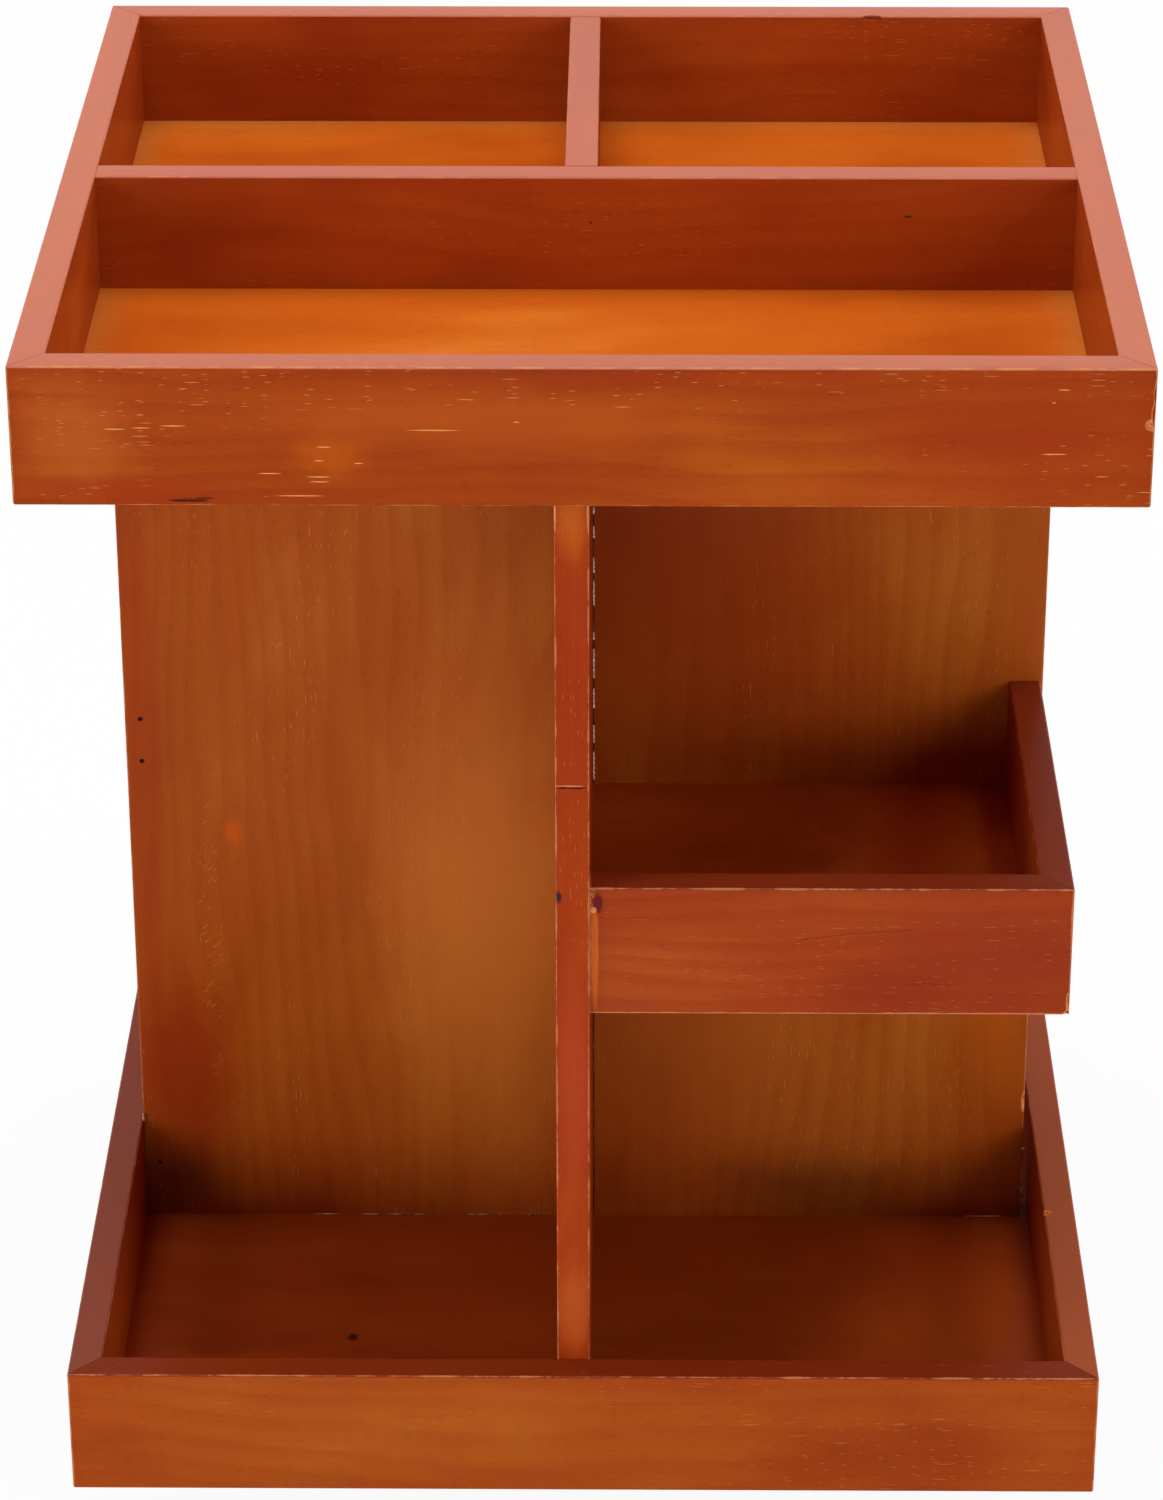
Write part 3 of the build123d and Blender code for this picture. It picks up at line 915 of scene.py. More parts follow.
@dataclass(frozen=True)
class BareWood:
    """Planed wood and ply that was left unstained.

    Attributes:
        patterns: The patterns that the boards share.
        body: The main colour.
        deep: The colour of latewood and fibres.
        pore: The colour of the pores.
        edge: The colour of rubbed edges.
        wear: The width of the rubbed line on its edges, in millimetres.
        ring_share: How strong the growth rings are.
        stagger: How far one board's figure is moved along the grain from the last one's, in millimetres.
    """

    patterns: WoodPatterns
    body: Colour = paint(214, 178, 128)
    deep: Colour = paint(176, 132, 82)
    pore: Colour = paint(120, 82, 46)
    edge: Colour = paint(232, 204, 160)
    wear: float = 0.3
    ring_share: float = 0.4
    stagger: float = 91.0

    def material(self, node: str, grain: Grain, order: int) -> bpy.types.Material:
        """Make the material of one bare board.

        Args:
            node: The board's node.
            grain: The way its grain runs.
            order: The board's number, which shifts its figure along the grain.

        Returns:
            The new material.
        """
        made, graph, point = start_finish(f"bare_{node}")
        figure = self.patterns.figure(graph, point, node, grain, Vector((self.stagger * order, 14.0, 44.0)))
        centre, half = node_box(node)
        arris = graph.group(
            self.patterns.arris, Point=point, Centre=tuple(centre), Half=tuple(half), Width=self.wear
        )
        colour = graph.mix(graph.math("MULTIPLY", figure.outputs["Rings"], self.ring_share), self.body, self.deep)
        colour = graph.mix(graph.ease(figure.outputs["Fibre"], 0.4, 0.7, 0.0, 0.6), colour, self.deep)
        colour = graph.mix(graph.math("MULTIPLY", figure.outputs["Pores"], 0.5), colour, self.pore)
        colour = graph.mix(graph.math("MULTIPLY", arris.outputs["Worn"], 0.5), colour, self.edge)
        rough = graph.ease(figure.outputs["Fibre"], 0.3, 0.7, 0.6, 0.75)
        end_finish(graph, colour, rough, figure.outputs["Relief"], bump_share=0.7, depth=0.12)
        return made


@dataclass(frozen=True)
class WornMetal:
    """Metal with a fine brushed or rolled skin and dull patches.

    Attributes:
        name: The material's name.
        colour: The metal's colour.
        dull: The colour of the dull patches.
        roughness: Where the metal is bright.
    """

    name: str
    colour: Colour
    dull: Colour
    roughness: float

    def material(self) -> bpy.types.Material:
        """Make the material.

        Returns:
            The new material.
        """
        made, graph, point = start_finish(self.name)
        patches = graph.noise(point, (0.09, 0.09, 0.09), 4.0, 0.6)
        scratches = graph.noise(point, (0.12, 3.2, 0.8), 3.0, 0.6)
        colour = graph.mix(graph.ease(patches, 0.42, 0.7), self.colour, self.dull)
        rough = graph.ease(patches, 0.35, 0.7, self.roughness, self.roughness + 0.22)
        shader = end_finish(graph, colour, rough, scratches, bump_share=0.25, depth=0.03)
        shader.inputs["Metallic"].default_value = 1.0
        return made


@dataclass(frozen=True)
class MouldedRubber:
    """Black rubber with a dusty bloom and a fine moulded grain.

    Attributes:
        body: The rubber's own colour.
        bloom: The colour of its dusty patches.
    """

    body: Colour = paint(38, 36, 35)
    bloom: Colour = paint(78, 74, 70)

    def material(self) -> bpy.types.Material:
        """Make the material.

        Returns:
            The new material.
        """
        made, graph, point = start_finish("moulded_rubber")
        dust = graph.noise(point, (0.35, 0.35, 0.35), 4.0, 0.65)
        pits = graph.noise(point, (3.5, 3.5, 3.5), 2.0)
        colour = graph.mix(graph.ease(dust, 0.4, 0.75), self.body, self.bloom)
        rough = graph.ease(dust, 0.3, 0.7, 0.62, 0.85)
        end_finish(graph, colour, rough, pits, bump_share=0.5, depth=0.05)
        return made


def pick_only(piece: bpy.types.Object) -> None:
    """Select one piece alone and make it the active one.

    Args:
        piece: The piece.
    """
    bpy.ops.object.select_all(action="DESELECT")
    piece.select_set(True)
    bpy.context.view_layer.objects.active = piece


def settle(piece: bpy.types.Object, angle: float = 35.0) -> None:
    """Put a piece's place into its mesh, turn its faces outwards and smooth it.

    Args:
        piece: The piece.
        angle: The angle in degrees up to which it is smoothed.
    """
    pick_only(piece)
    bpy.ops.object.transform_apply(location=True, rotation=True, scale=True)
    bpy.ops.object.mode_set(mode="EDIT")
    bpy.ops.mesh.select_all(action="SELECT")
    bpy.ops.mesh.remove_doubles(threshold=WELD * MM)
    bpy.ops.mesh.normals_make_consistent(inside=False)
    bpy.ops.object.mode_set(mode="OBJECT")
    bpy.ops.object.shade_smooth_by_angle(angle=math.radians(angle))


def rough_ball(centre: Point, reach: Point, seed: int, fineness: int = 2) -> bpy.types.Object:
    """Model an uneven ball.

    Args:
        centre: Its middle, in millimetres.
        reach: Its half sizes, in millimetres.
        seed: Picks its unevenness.
        fineness: How often its faces are divided.

    Returns:
        The new object, selected alone.
    """
    bpy.ops.object.select_all(action="DESELECT")
    bpy.ops.mesh.primitive_ico_sphere_add(subdivisions=fineness, radius=1.0, location=Vector(centre) * MM)
    ball = bpy.context.active_object
    bpy.ops.object.mode_set(mode="EDIT")
    bpy.ops.mesh.select_all(action="SELECT")
    bpy.ops.transform.vertex_random(offset=0.16, uniform=0.3, normal=0.0, seed=seed)
    bpy.ops.object.mode_set(mode="OBJECT")
    ball.scale = Vector(reach) * MM
    return ball


def join(pieces: list[bpy.types.Object], name: str) -> bpy.types.Object:
    """Join several pieces into one and settle it.

    Args:
        pieces: The pieces.
        name: The name of the whole.

    Returns:
        The whole.
    """
    bpy.ops.object.select_all(action="DESELECT")
    for piece in pieces:
        piece.select_set(True)
    bpy.context.view_layer.objects.active = pieces[0]
    bpy.ops.object.transform_apply(location=True, rotation=True, scale=True)
    bpy.ops.object.join()
    whole = bpy.context.active_object
    whole.name = name
    settle(whole)
    return whole


class Chisel:
    """Breaks wood out of copies of boards and puts the copies in the boards' place.

    Attributes:
        flatness: The angle in degrees up to which neighbouring faces are shaded as one.
    """

    flatness = 6.0

    def __init__(self, nodes: dict[str, bpy.types.Object]) -> None:
        """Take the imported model's nodes, by name."""
        self.nodes = nodes

    def cut(self, board: Board) -> bpy.types.Object:
        """Make the copy of one board with its broken places.

        Args:
            board: The board, with its bites.

        Returns:
            The new piece, which rides on the board's body.
        """
        piece = bpy.data.objects.new(f"{board.node}_chipped", self.nodes[board.node].data.copy())
        bpy.context.scene.collection.objects.link(piece)
        pick_only(piece)
        bpy.ops.mesh.customdata_custom_splitnormals_clear()
        settle(piece, self.flatness)
        for bite in board.bites:
            cutter = rough_ball(bite.centre, bite.reach, bite.seed, fineness=3)
            pick_only(piece)
            hole = piece.modifiers.new("break", "BOOLEAN")
            hole.operation = "DIFFERENCE"
            hole.solver = "EXACT"
            hole.object = cutter
            bpy.ops.object.modifier_apply(modifier=hole.name)
            bpy.data.objects.remove(cutter)
        settle(piece, self.flatness)
        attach(piece, board.body)
        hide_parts(board.node)
        return piece


class Workshop:
    """Holds the finishes and puts them on the pieces."""

    def __init__(self, nodes: dict[str, bpy.types.Object]) -> None:
        """Make the finishes.

        Args:
            nodes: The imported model's nodes, by name.
        """
        self.nodes = nodes
        self.chisel = Chisel(nodes)
        self.patterns = WoodPatterns()
        self.satin = SatinWood(self.patterns)
        self.bare = BareWood(self.patterns)
        self.plate = WornMetal("zinc_plate", paint(196, 198, 200), paint(150, 152, 150), 0.28).material()
        self.screw = WornMetal("zinc_screw", paint(204, 200, 188), paint(150, 142, 120), 0.24).material()
        self.steel = WornMetal("ball_steel", paint(214, 216, 220), paint(176, 178, 182), 0.12).material()
        self.brad = WornMetal("dark_brad", paint(64, 52, 44), paint(30, 22, 18), 0.45).material()
        self.rubber = MouldedRubber().material()
        self.glue = DriedGlue().material()
        # The white beads along the seam beside the divider take a white version of the glue's material.
        self.white_seam_beads = DriedGlue("white_seam_beads", paint(252, 250, 246), paint(238, 228, 214)).material()
        self.count = 0

    def stain(self, boards: tuple[Board, ...]) -> None:
        """Stain boards, and show a broken copy of each one that has bites.

        Args:
            boards: How the boards look.
        """
        for board in boards:
            self.count += 1
            finish = self.satin.material(board, self.count)
            assign(self.nodes[board.node], finish)
            if board.bites:
                assign(self.chisel.cut(board), finish)
            log.info("stained %s, broken in %d places", board.node, len(board.bites))

    def leave_bare(self, names: tuple[str, ...], grain: Grain) -> None:
        """Give the look of bare wood to nodes whose grain runs one way.

        Args:
            names: The nodes.
            grain: The way their grain runs.
        """
        for name in names:
            self.count += 1
            assign(self.nodes[name], self.bare.material(name, grain, self.count))
            log.info("left %s bare", name)

    def fit(self, names: tuple[str, ...], material: bpy.types.Material) -> None:
        """Put one material on several nodes.

        Args:
            names: The nodes.
            material: The material.
        """
        for name in names:
            assign(self.nodes[name], material)
            log.info("finished %s with %s", name, material.name)


@dataclass
class TopTray:
    """The wide tray on top, with a long divider and a cross divider behind it.

    Attributes:
        shop: The finishes.
        half: The rims' half width, in millimetres.
        front: The front face's place along Y, in millimetres.
        top: The rims' height, in millimetres.
        divider_top: The dividers' height, in millimetres.
    """

    shop: Workshop
    half: float = 127.0
    front: float = -127.0
    top: float = 317.8
    divider_top: float = 317.4

    def dress(self) -> None:
        """Stain its boards."""
        # Painted sheen: the pale pink tint on the tops of the rims and dividers stands for the satin coat's
        # reflection of the lamps.
        painted_sheen_top = painted_top_light(self.top, paint(202, 128, 106), 0.55)
        painted_sheen_divider_top = painted_top_light(self.divider_top, paint(199, 124, 104), 0.55)
        corners = mitres(self.half, self.top)
        front = (
            painted_sheen_top,
            Spot((-20, self.front, 305), (75, 4, 12), paint(180, 84, 20), 0.5, 0.9, 0.8),
            Spot((-112, self.front, 300), (18, 4, 20), paint(184, 96, 34), 0.45, 0.9, 0.9),
            Spot((-102, self.front, 288), (26, 4, 5), paint(150, 44, 12), 0.6, 0.8, 0.8),
            Spot((-56, self.front, 296), (12, 2, 8), paint(186, 84, 12), 0.5, 0.9, 0.9),
            Spot((96, self.front, 298), (44, 4, 24), paint(146, 42, 8), 0.65, 0.8, 0.9),
            Spot((-87.4, self.front, 285.7), (5.5, 1, 0.5), paint(70, 26, 12), 0.8, 0.9, 0.5),
            *pale_pores(
                self.front,
                (-57.2, 298.6, 4.2), (-58.3, 295.3, 2.9), (-58.5, 291.4, 6.8), (-58.3, 290.2, 5.5),
                (-49.5, 294.7, 2.6), (-69.3, 292.2, 6.4), (-62.7, 286.8, 13.0), (-14.3, 304.7, 1.6),
                (-32.6, 302.7, 14.0), (104.4, 309.6, 1.0), (105.0, 297.3, 7.0), (106.6, 312.7, 3.5),
                (-103.5, 302.8, 6.0), (-97.5, 303.1, 5.0), (-90.5, 303.6, 7.0),
            ),
        )
        chips = (
            Bite((127.0, self.front, 306.6), (0.9, 0.8, 3.2), 3),
            Bite((126.6, self.front - 0.1, 304.3), (1.7, 0.5, 1.5), 5),
            Bite((127.1, self.front, 311.5), (0.7, 0.6, 3.6), 8),
            Bite((-87.6, self.front - 0.1, 285.5), (4.4, 0.5, 0.26), 9, paint(88, 34, 14)),
            Bite((-84.0, self.front - 0.1, 286.2), (2.2, 0.4, 0.2), 4, paint(88, 34, 14)),
        )
        nicks = (
            Bite((78.2, -4.1, 307.3), (0.9, 0.5, 0.35), 2, paint(52, 20, 14)),
            Bite((1.2, -4.1, 305.6), (0.35, 0.4, 0.35), 6, paint(52, 20, 14)),
        )
        splinter = (Bite((74.5, 118.8, 317.2), (2.6, 0.8, 0.9), 7, paint(120, 40, 14)),)
        self.shop.stain((
            Board("top_front_rim", HONEY, Grain.ACROSS, (20, 6, 40), 0.6, 0.34, front, (), corners, chips),
            Board("top_rear_rim", BRICK, Grain.ACROSS, (-60, 12, 46), 0.3, 0.25, (painted_sheen_top,), (), corners, splinter),
            Board("top_left_rim", BRICK, Grain.DEEP, (15, 18, 36), 0.3, 0.25, (painted_sheen_top,), cracks=corners),
            Board("top_right_rim", BRICK, Grain.DEEP, (-25, 14, 40), 0.3, 0.25, (painted_sheen_top,), cracks=corners),
            Board(
                "top_long_divider", BRICK, Grain.ACROSS, (34, 30, 42), 0.3, 0.25, (painted_sheen_divider_top,),
                bites=nicks, buried=((1, 0, 1), (1, 0, 0)),
            ),
            Board(
                "top_cross_divider", BRICK, Grain.DEEP, (4, 16, 44), 0.2, 0.25, (painted_sheen_divider_top,),
                buried=((0, 1, 1), (0, 1, 0)),
            ),
            Board("top_floor", AMBER, Grain.ACROSS, (0, 40, 60), 0.15, 0.0001),
        ))
        self.shop.fit(("top_brads",), self.shop.brad)


@dataclass
class Column:
    """The centre divider and the two panels butted against it.

    Attributes:
        shop: The finishes.
        face: The panels' front face along Y, in millimetres.
        edge: The divider's front edge along Y, in millimetres.
        divider_x: The divider's middle, in millimetres.
        seam: Where the seam beside the divider starts and ends along X, in millimetres.
        seam_bottom: The height at which the seam starts, in millimetres.
        seam_top: The height at which the seam ends, in millimetres.
    """

    shop: Workshop
    face: float = -4.0
    edge: float = -118.0
    divider_x: float = -2.3
    seam: tuple[float, float] = (1.7, 2.0)
    seam_bottom: float = 22.8
    seam_top: float = 284.3

    def dress(self) -> None:
        """Stain its boards and put in the glue."""
        left = (
            Spot((-114, self.face, 150), (7, 5, 130), paint(154, 50, 14), 0.5, 0.9, 0.8),
            Spot((-106, self.face, 66), (20, 5, 44), paint(140, 38, 10), 0.7, 0.8, 0.8),
            # Painted light: this pale patch lightens the panel's lower right beside the divider, against the
            # divider's shade.
            Spot((-24, self.face, 106), (46, 5, 116), paint(206, 118, 44), 0.85, 0.7, 0.9),
            # Painted shadow: this dark patch in the panel's lower left corner stands for the shadow of the left rim.
            Spot((-114, self.face, 33), (24, 5, 17), paint(60, 20, 10), 0.6, 0.5, 0.9),
            Spot((-91.2, self.face, 138.2), (3.4, 2, 5.4), paint(208, 84, 10), 0.6, 1.0, 0.8),
        )
        right = (
            # Painted shade: this darkens the upper panel under the top tray's overhang and beside the divider.
            Spot((30, self.face, 210), (56, 5, 66), paint(140, 46, 12), 0.6, 0.9, 0.8),
            # Painted light: this pale patch lightens the lower middle of the panel.
            Spot((26, self.face, 86), (60, 5, 60), paint(188, 98, 36), 0.5, 0.8, 0.8),
            Spot((106, self.face, 100), (16, 5, 46), paint(190, 90, 16), 0.5, 0.8, 0.9),
            # Painted shadow at the panel's foot, where the rims and the divider shade it.
            Spot((62, self.face, 32), (40, 5, 15), paint(104, 46, 16), 0.55, 1.0, 0.9),
        )
        x = self.divider_x
        middle = (
            Spot((x, self.edge, 277), (6, 3, 14), paint(190, 92, 22), 0.8, 0.7, 0.9),
            Spot((x, self.edge, 66), (6, 3, 20), paint(186, 88, 30), 0.5, 0.7, 0.8),
            Spot((x, self.edge, 130), (6, 3, 44), paint(168, 64, 30), 0.6, 0.7, 0.8),
            Spot((-5.6, self.edge, 180.6), (1.0, 1.2, 1.9), paint(46, 30, 38), 0.95, 0.5, 0.5),
            Spot((x, self.edge, 209.3), (5, 1, 0.34), paint(84, 26, 14), 0.9, 0.9, 0.4),
            Spot((x - 0.6, self.edge, 209.8), (4, 1, 0.2), paint(230, 150, 110), 0.7, 1.2, 0.4),
        )
        joint = (
            Bite((-4.4, self.edge - 0.2, 209.3), (0.9, 0.5, 0.22), 11, paint(60, 20, 12)),
            Bite((-0.6, self.edge - 0.2, 209.2), (0.8, 0.45, 0.2), 12, paint(60, 20, 12)),
            Bite((-6.5, self.edge - 0.1, 278.4), (0.7, 0.6, 5.6), 13, paint(236, 160, 110)),
            Bite((1.9, self.edge - 0.1, 278.0), (0.7, 0.6, 5.0), 14, paint(236, 160, 110)),
        )
        gouge = (Bite((116.2, self.face - 0.1, 58.4), (1.1, 0.9, 3.4), 15, paint(236, 152, 104)),)
        pale = paint(196, 120, 70)
        self.shop.stain((
            Board(
                "centre_divider", RUSSET, Grain.UPRIGHT, (30, 10, 38), 0.3, 0.4, middle,
                bites=joint, buried=((0, 0, 1), (0, 0, 1)),
            ),
            Board(
                "left_panel", OLIVE, Grain.UPRIGHT, (-20, 8, 60), 0.4, 0.3, left,
                (Chatter((-98.2, self.face, 110), (4.4, 2, 70), 38.0, pale, 0.5),),
                buried=((0, 0, 1), (1, 0, 1)),
            ),
            Board(
                "right_panel", OLIVE, Grain.UPRIGHT, (40, -12, 58), 0.35, 0.3, right,
                (Chatter((78, self.face, 44.0), (40, 2, 5), 68.0, paint(186, 104, 58), 0.6),),
                bites=gouge, buried=((1, 0, 1), (0, 0, 1)),
            ),
        ))
        self.shop.fit(("column_screws",), self.shop.screw)
        self._glue_seam()
        self._glue_drops()

    def _glue_seam(self) -> None:
        """Fill the seam with glue that stained dark, and put white beads in it over a part of its height."""
        white_spans = (
            (153.3, 160.3), (163.4, 168.2), (173.5, 178.5), (182.2, 189.2), (193.4, 194.4), (202.7, 208.6),
            (211.1, 215.6), (220.8, 224.0), (227.0, 229.2),
        )
        lots = random.Random(5)
        middle = sum(self.seam) / 2
        beads: dict[bool, list[bpy.types.Object]] = {False: [], True: []}
        height = self.seam_bottom
        while height < self.seam_top - 3.0:
            white_here = any(low <= height <= high for low, high in white_spans)
            if white_here:
                length, gap = lots.uniform(0.5, 1.1), lots.uniform(0.25, 0.85)
                proud, width, depth = -0.1, 0.3, 0.35
            else:
                length, gap = lots.uniform(1.6, 2.6), -0.3
                proud, width, depth = 1.0 + lots.uniform(-0.2, 0.2), 0.24, 0.75
            centre = (middle, self.face + proud, height + length / 2)
            reach = (width, depth, length / 2 + 0.12)
            beads[white_here].append(rough_ball(centre, reach, seed=round(height * 7), fineness=1))
            height += length + gap
        self._hold(join(beads[False], "seam_glue"), self.shop.glue)
        self._hold(join(beads[True], "seam_beads"), self.shop.white_seam_beads)

    def _glue_drops(self) -> None:
        """Leave drops and threads of glue where the panels meet the bottom tray."""
        edge = 116.1
        drops = (
            ((edge, -3.6, 43.9), (0.5, 0.5, 0.4)), ((edge, -3.8, 35.6), (0.22, 0.3, 2.4)),
            ((edge, -3.9, 31.6), (0.4, 0.4, 0.9)), ((edge + 0.2, -4.0, 29.2), (0.45, 0.45, 0.7)),
            ((edge, -4.1, 26.6), (0.5, 0.5, 0.8)), ((107.0, -4.05, 23.0), (6.0, 0.3, 0.25)),
            ((-52.0, -4.05, 22.95), (9.0, 0.22, 0.2)), ((-28.0, -4.05, 22.95), (5.0, 0.2, 0.2)),
            ((-15.0, -4.1, 23.0), (0.6, 0.3, 0.3)), ((-70.0, -4.05, 22.95), (4.0, 0.2, 0.18)),
            ((-117.8, -4.3, 53.0), (0.5, 0.5, 1.3)),
        )
        balls = [rough_ball(centre, reach, seed) for seed, (centre, reach) in enumerate(drops, start=40)]
        self._hold(join(balls, "glue_drops"), self.shop.glue)

    def _hold(self, piece: bpy.types.Object, material: bpy.types.Material) -> None:
        """Finish a piece on the column, glue or the seam's white beads, and make it ride with the column.

        Args:
            piece: The piece.
            material: Its material.
        """
        assign(piece, material)
        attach(piece, "turntable")
        log.info("made %s", piece.name)


@dataclass
class Shelf:
    """The half-height shelf at the front right, with its lips.

    Attributes:
        shop: The finishes.
        front: The front face's place along Y, in millimetres.
        top: The lips' height, in millimetres.
    """

    shop: Workshop
    front: float = -116.5
    top: float = 182.3

    def dress(self) -> None:
        """Stain its boards."""
        # Painted shade: the lips' tops are darkened where the top tray hangs over them.
        painted_shade_top = painted_top_light(self.top, paint(122, 44, 22), 0.7)
        corner = Crack((107.3, self.front + 8.0, self.top), (115.2, self.front, self.top), 0.2)
        checks = (
            corner,
            Crack((51.0, self.front, 168.6), (63.0, self.front, 170.4), 0.14),
            Crack((62.6, self.front, 170.3), (79.0, self.front, 171.6), 0.12),
            Crack((76.0, self.front, 156.6), (82.0, self.front, 157.2), 0.12),
            Crack((82.4, self.front, 156.9), (87.0, self.front, 156.5), 0.12),
            Crack((54.0, self.front, 173.6), (71.0, self.front, 173.3), 0.1, strength=0.5),
        )
        front = (
            painted_shade_top,
            Spot((96, self.front, 165), (40, 4, 24), paint(136, 42, 20), 0.55, 0.8, 0.9),
            Spot((2.9, self.front, 165), (1.2, 2, 19), paint(200, 96, 34), 0.8, 0.7, 0.5),
            Spot((3.6, self.front, 178.2), (1.6, 1.6, 3.4), paint(92, 24, 30), 0.9, 0.5, 0.5),
            Spot((2.6, self.front, 176.4), (0.9, 1.2, 1.0), paint(222, 140, 74), 0.95, 0.9, 0.4),
        )
        chips = (
            Bite((1.9, self.front - 0.1, 180.9), (0.9, 0.6, 1.3), 21),
            Bite((1.8, self.front - 0.1, 177.4), (0.7, 0.5, 0.9), 22),
            Bite((115.2, self.front - 0.1, 148.9), (1.3, 0.8, 1.0), 23),
            Bite((114.9, self.front - 0.2, 152.0), (0.6, 0.5, 2.6), 24),
        )
        # Painted light: a pool of light on the right of the shelf floor.
        floor = (Spot((86, -50, 152.8), (40, 66, 3), paint(206, 108, 44), 0.8, 0.8, 0.9),)
        self.shop.stain((
            Board("shelf_front_lip", CORAL, Grain.ACROSS, (10, 10, 36), 0.2, 0.36, front, (), checks, chips),
            Board(
                "shelf_side_lip", BRICK, Grain.DEEP, (-30, 14, 40), 0.2, 0.25, (painted_shade_top,),
                cracks=(corner,), buried=((0, 0, 0), (0, 1, 0)),
            ),
            Board("shelf_floor", UMBER, Grain.ACROSS, (0, 30, 60), 0.1, 0.0001, floor),
        ))
        self.shop.fit(("shelf_brads",), self.shop.brad)


@dataclass
class BottomTray:
    """The wide tray that the column stands in.

    Attributes:
        shop: The finishes.
        half: The rims' half width, in millimetres.
        top: The rims' height, in millimetres.
    """

    shop: Workshop
    half: float = 126.0
    top: float = 52.3

    def dress(self) -> None:
        """Stain its boards."""
        # Painted light on the rims' tops: the front and rear tops are darkened as painted shade under the top tray,
        # and the left and right tops get a pale tint as painted sheen.
        painted_shade_top = painted_top_light(self.top, paint(114, 32, 11), 0.8)
        painted_sheen_left_top = painted_top_light(self.top, paint(122, 66, 54), 0.75)
        painted_sheen_right_top = painted_top_light(self.top, paint(164, 82, 46), 0.75)
        corners = mitres(self.half, self.top)
        floor = (
            # Painted light: a pool of light on the right of the bottom floor.
            Spot((98, -50, 22.8), (52, 76, 3), paint(212, 100, 34), 0.8, 0.8, 0.9),
            Spot((-59.8, -63.8, 22.8), (1.9, 2.2, 2), paint(50, 16, 10), 0.9, 0.9, 0.6),
        )
        chip = (
            Bite((118.2, -49.6, 52.4), (1.5, 1.4, 0.5), 31, paint(224, 128, 52)),
            Bite((119.4, -49.2, 52.5), (1.3, 0.6, 0.4), 32, paint(224, 128, 52)),
        )
        self.shop.stain((
            Board("bottom_front_rim", OCHRE, Grain.ACROSS, (-40, 8, 44), 0.3, 0.34, (painted_shade_top,), cracks=corners),
            Board("bottom_rear_rim", BRICK, Grain.ACROSS, (30, 12, 46), 0.2, 0.25, (painted_shade_top,), cracks=corners),
            Board("bottom_left_rim", BRICK, Grain.DEEP, (-15, 18, 38), 0.2, 0.25, (painted_sheen_left_top,), cracks=corners),
            Board("bottom_right_rim", BRICK, Grain.DEEP, (25, 12, 40), 0.2, 0.25, (painted_sheen_right_top,), (), corners, chip),
            Board("bottom_floor", UMBER, Grain.ACROSS, (0, 44, 60), 0.1, 0.0001, floor),
        ))
        self.shop.fit(("bottom_brads",), self.shop.brad)


@dataclass
class DrawerCabinet:
    """The cabinet behind the left panel.

    Attributes:
        shop: The finishes.
    """

    shop: Workshop

    def dress(self) -> None:
        """Stain its boards."""
        self.shop.stain((
            Board("cabinet_side", OCHRE, Grain.UPRIGHT, (16, 10, 50), 0.3),
            Board("cabinet_floor", RUSSET, Grain.ACROSS, (0, 20, 44), 0.1),
            Board("cabinet_shelf_1", RUSSET, Grain.ACROSS, (40, 24, 44), 0.1),
            Board("cabinet_shelf_2", RUSSET, Grain.ACROSS, (80, 28, 44), 0.1),
        ))
        self.shop.fit(("cabinet_brads",), self.shop.brad)


@dataclass
class Drawer:
    """One drawer: a stained front and knob on a bare box.

    Attributes:
        shop: The finishes.
        body: The name of the body that it is.
    """

    shop: Workshop
    body: str

    def dress(self) -> None:
        """Stain its front and its knob and leave its box bare."""
        self.shop.stain((
            Board(f"{self.body}_front", OCHRE, Grain.ACROSS, (10, 6, 42), 0.4, 0.5),
            Board(f"{self.body}_knob", RUSSET, Grain.DEEP, (0, 3, 9), 0.1, 0.0001),
        ))
        self.shop.leave_bare((f"{self.body}_left_side", f"{self.body}_right_side"), Grain.DEEP)
        self.shop.leave_bare((f"{self.body}_back", f"{self.body}_bottom"), Grain.ACROSS)
        self.shop.fit((f"{self.body}_knob_screw",), self.shop.screw)


@dataclass
class Swivel:
    """The pressed plates, the balls and the screws of the swivel.

    Attributes:
        shop: The finishes.
    """

    shop: Workshop

    def dress(self) -> None:
        """Give its pieces their metals."""
        self.shop.fit(("swivel_lower_plate", "swivel_upper_plate"), self.shop.plate)
        self.shop.fit(("swivel_lower_screws", "swivel_upper_screws"), self.shop.screw)
        self.shop.fit(("swivel_balls",), self.shop.steel)


@dataclass
class Base:
    """The round base board on its four feet.

    Attributes:
        shop: The finishes.
        feet: How many feet there are.
    """

    shop: Workshop
    feet: int = 4

    def dress(self) -> None:
        """Stain the board and give the feet their rubber."""
        self.shop.stain((Board("base_board", RUSSET, Grain.ACROSS, (0, 20, 50), 0.2, 0.0001),))
        self.shop.fit(tuple(f"base_foot_{n}" for n in range(1, self.feet + 1)), self.shop.rubber)


@dataclass(frozen=True)
class Softbox:
    """A rectangular studio lamp.

    Attributes:
        name: Its name.
        place: Where it is, in metres.
        aim: The point that it faces, in metres.
        size: Its width and height, in metres.
        power: Its power, in watts.
    """

    name: str
    place: Point
    aim: Point
    size: tuple[float, float]
    power: float

    def light(self) -> None:
        """Put the lamp in the scene."""
        lamp = bpy.data.lights.new(self.name, "AREA")
        lamp.shape = "RECTANGLE"
        lamp.size, lamp.size_y = self.size
        lamp.energy = self.power
        holder = bpy.data.objects.new(self.name, lamp)
        bpy.context.scene.collection.objects.link(holder)
        holder.location = self.place
        holder.rotation_euler = (Vector(self.aim) - Vector(self.place)).to_track_quat("-Z", "Y").to_euler()


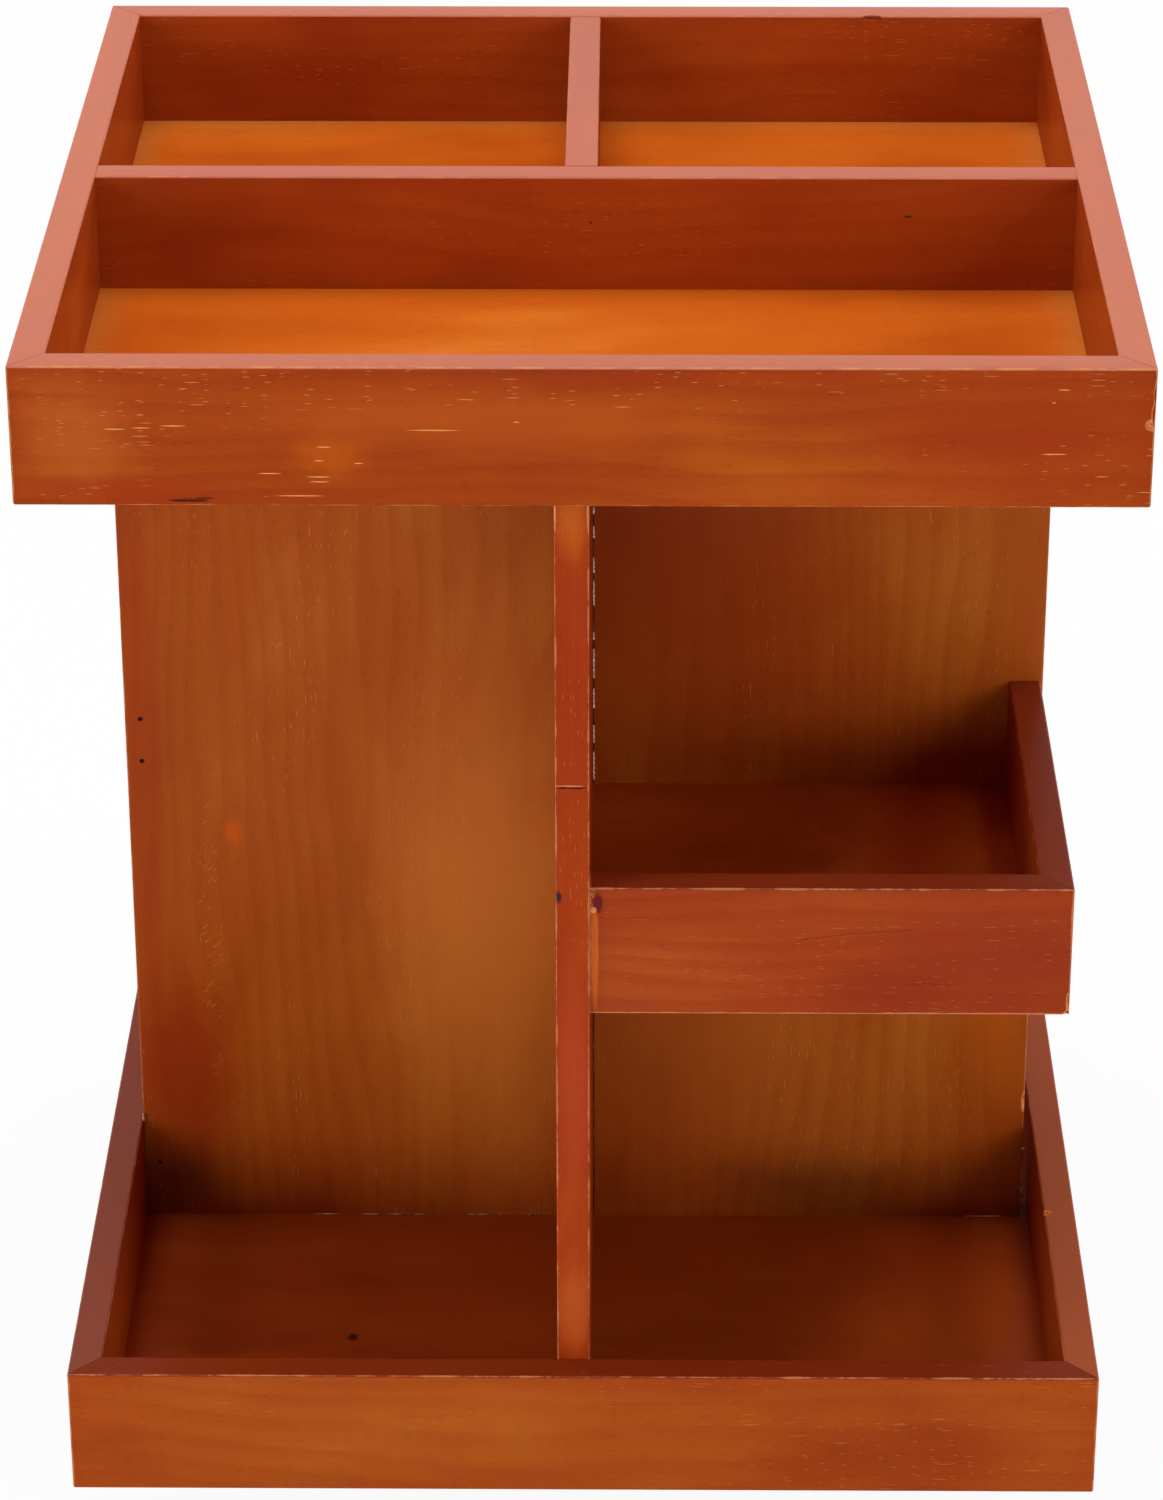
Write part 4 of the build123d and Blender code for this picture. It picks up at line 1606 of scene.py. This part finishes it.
@dataclass
class Studio:
    """A white floor, a white surround and soft lamps.

    Attributes:
        floor_side: The side of the square floor, in metres.
        floor_drop: How far the floor lies under the feet, in millimetres.
        paper: The floor's colour.
        ambient: How strongly the surround lights the object.
        glow: How much of the floor's white shows to the camera whatever falls on it.
        boxes: The lamps.
    """

    floor_side: float = 9.0
    floor_drop: float = 0.2
    paper: Colour = (0.82, 0.82, 0.82, 1.0)
    ambient: float = 0.06
    glow: float = 0.94
    boxes: tuple[Softbox, ...] = (
        Softbox("lamp_left", (-1.55, -0.95, 0.9), (0, 0, 0.18), (0.9, 1.5), 17.0),
        Softbox("lamp_right", (1.5, -1.0, 1.0), (0, 0, 0.18), (0.9, 1.1), 14.0),
        Softbox("lamp_front", (0, -2.6, 0.36), (0, 0, 0.16), (2.2, 0.62), 19.0),
        Softbox("lamp_top", (-0.1, 0.1, 2.2), (0, 0, 0.25), (1.5, 1.5), 35.0),
        Softbox("lamp_rear_left", (-1.7, 1.5, 1.1), (0, 0, 0.18), (1.0, 1.2), 14.0),
        Softbox("lamp_rear_right", (1.7, 1.5, 1.1), (0, 0, 0.18), (1.0, 1.2), 14.0),
    )

    def build(self) -> None:
        """Make the floor, the surround and the lamps."""
        bpy.ops.object.select_all(action="DESELECT")
        bpy.ops.mesh.primitive_plane_add(size=self.floor_side, location=(0, 0, -self.floor_drop * MM))
        floor = bpy.context.active_object
        floor.name = "studio_floor"
        assign(floor, self._floor_paper())
        self._surround()
        for box in self.boxes:
            box.light()

    def _seen(self, graph: Graph) -> bpy.types.NodeSocket:
        """Add the mask of what is seen by the camera, or in or through something.

        Args:
            graph: The graph of the material or the surround.

        Returns:
            The mask.
        """
        path = graph.node("LightPath")
        seen = graph.math("MAXIMUM", path.outputs["Is Camera Ray"], path.outputs["Is Glossy Ray"])
        return graph.math("MAXIMUM", seen, path.outputs["Is Transmission Ray"])

    def _floor_paper(self) -> bpy.types.Material:
        """Make white paper that keeps the object's shadow and shows white to the camera.

        Returns:
            The new material.
        """
        made = bpy.data.materials.new("studio_paper")
        made.use_nodes = True
        graph = Graph(made.node_tree)
        plain = graph.node("BsdfDiffuse")
        plain.inputs["Color"].default_value = self.paper
        glow = graph.node("Emission")
        glow.inputs["Color"].default_value = WHITE
        glow.inputs["Strength"].default_value = 1.0
        mixed = graph.node("MixShader")
        graph.feed(mixed.inputs[0], graph.math("MULTIPLY", self._seen(graph), self.glow))
        graph.feed(mixed.inputs[1], plain.outputs[0])
        graph.feed(mixed.inputs[2], glow.outputs[0])
        graph.feed(graph.node("OutputMaterial").inputs["Surface"], mixed.outputs[0])
        return made

    def _surround(self) -> None:
        """Make the surround: white where it is seen, softer where it lights."""
        world = bpy.data.worlds.new("studio_surround")
        bpy.context.scene.world = world
        world.use_nodes = True
        graph = Graph(world.node_tree)
        back = graph.node("Background")
        back.inputs["Color"].default_value = WHITE
        graph.feed(back.inputs["Strength"], graph.ease(self._seen(graph), 0.0, 1.0, self.ambient, 1.0))
        graph.feed(graph.node("OutputWorld").inputs["Surface"], back.outputs[0])


@dataclass(frozen=True)
class Camera:
    """The camera, at the viewing angle of the reference picture.

    Attributes:
        place: Where it stands, in metres.
        lens: Its focal length, in millimetres.
        sensor: The long side of its sensor, in millimetres.
        pitch: How far it looks down, in degrees.
        yaw: How far it looks to the right, in degrees.
        roll: How far it is rolled, in degrees.
    """

    place: Point = (0.01049, -1.15138, 0.73460)
    lens: float = 120.214
    sensor: float = 36.0
    pitch: float = 26.5074
    yaw: float = -0.5879
    roll: float = 0.0882

    def build(self) -> None:
        """Put the camera in the scene."""
        pitch, yaw, roll = (math.radians(angle) for angle in (self.pitch, self.yaw, self.roll))
        ahead = Vector((math.sin(yaw) * math.cos(pitch), math.cos(yaw) * math.cos(pitch), -math.sin(pitch)))
        level = Vector((math.cos(yaw), -math.sin(yaw), 0.0))
        down = ahead.cross(level)
        right = math.cos(roll) * level + math.sin(roll) * down
        below = math.cos(roll) * down - math.sin(roll) * level
        data = bpy.data.cameras.new("camera")
        data.sensor_fit = "VERTICAL"
        data.sensor_height = self.sensor
        data.lens = self.lens
        camera = bpy.data.objects.new("camera", data)
        bpy.context.scene.collection.objects.link(camera)
        turn = Matrix((right, -below, -ahead)).transposed().to_4x4()
        camera.matrix_world = Matrix.Translation(self.place) @ turn
        bpy.context.scene.camera = camera


def main() -> None:
    """Build the organizer's looks in order, then the studio and the camera."""
    logging.basicConfig(level=logging.INFO, format="%(name)s: %(message)s")
    bpy.context.scene.view_settings.view_transform = "Standard"
    shop = Workshop(frame["nodes"])
    drawers = [Drawer(shop, name) for name in ("lower_drawer", "middle_drawer", "upper_drawer")]
    for assembly in (
        TopTray(shop), Column(shop), Shelf(shop), BottomTray(shop), DrawerCabinet(shop), *drawers,
        Swivel(shop), Base(shop),
    ):
        assembly.dress()
    Studio().build()
    Camera().build()


if __name__ == "__main__":
    main()
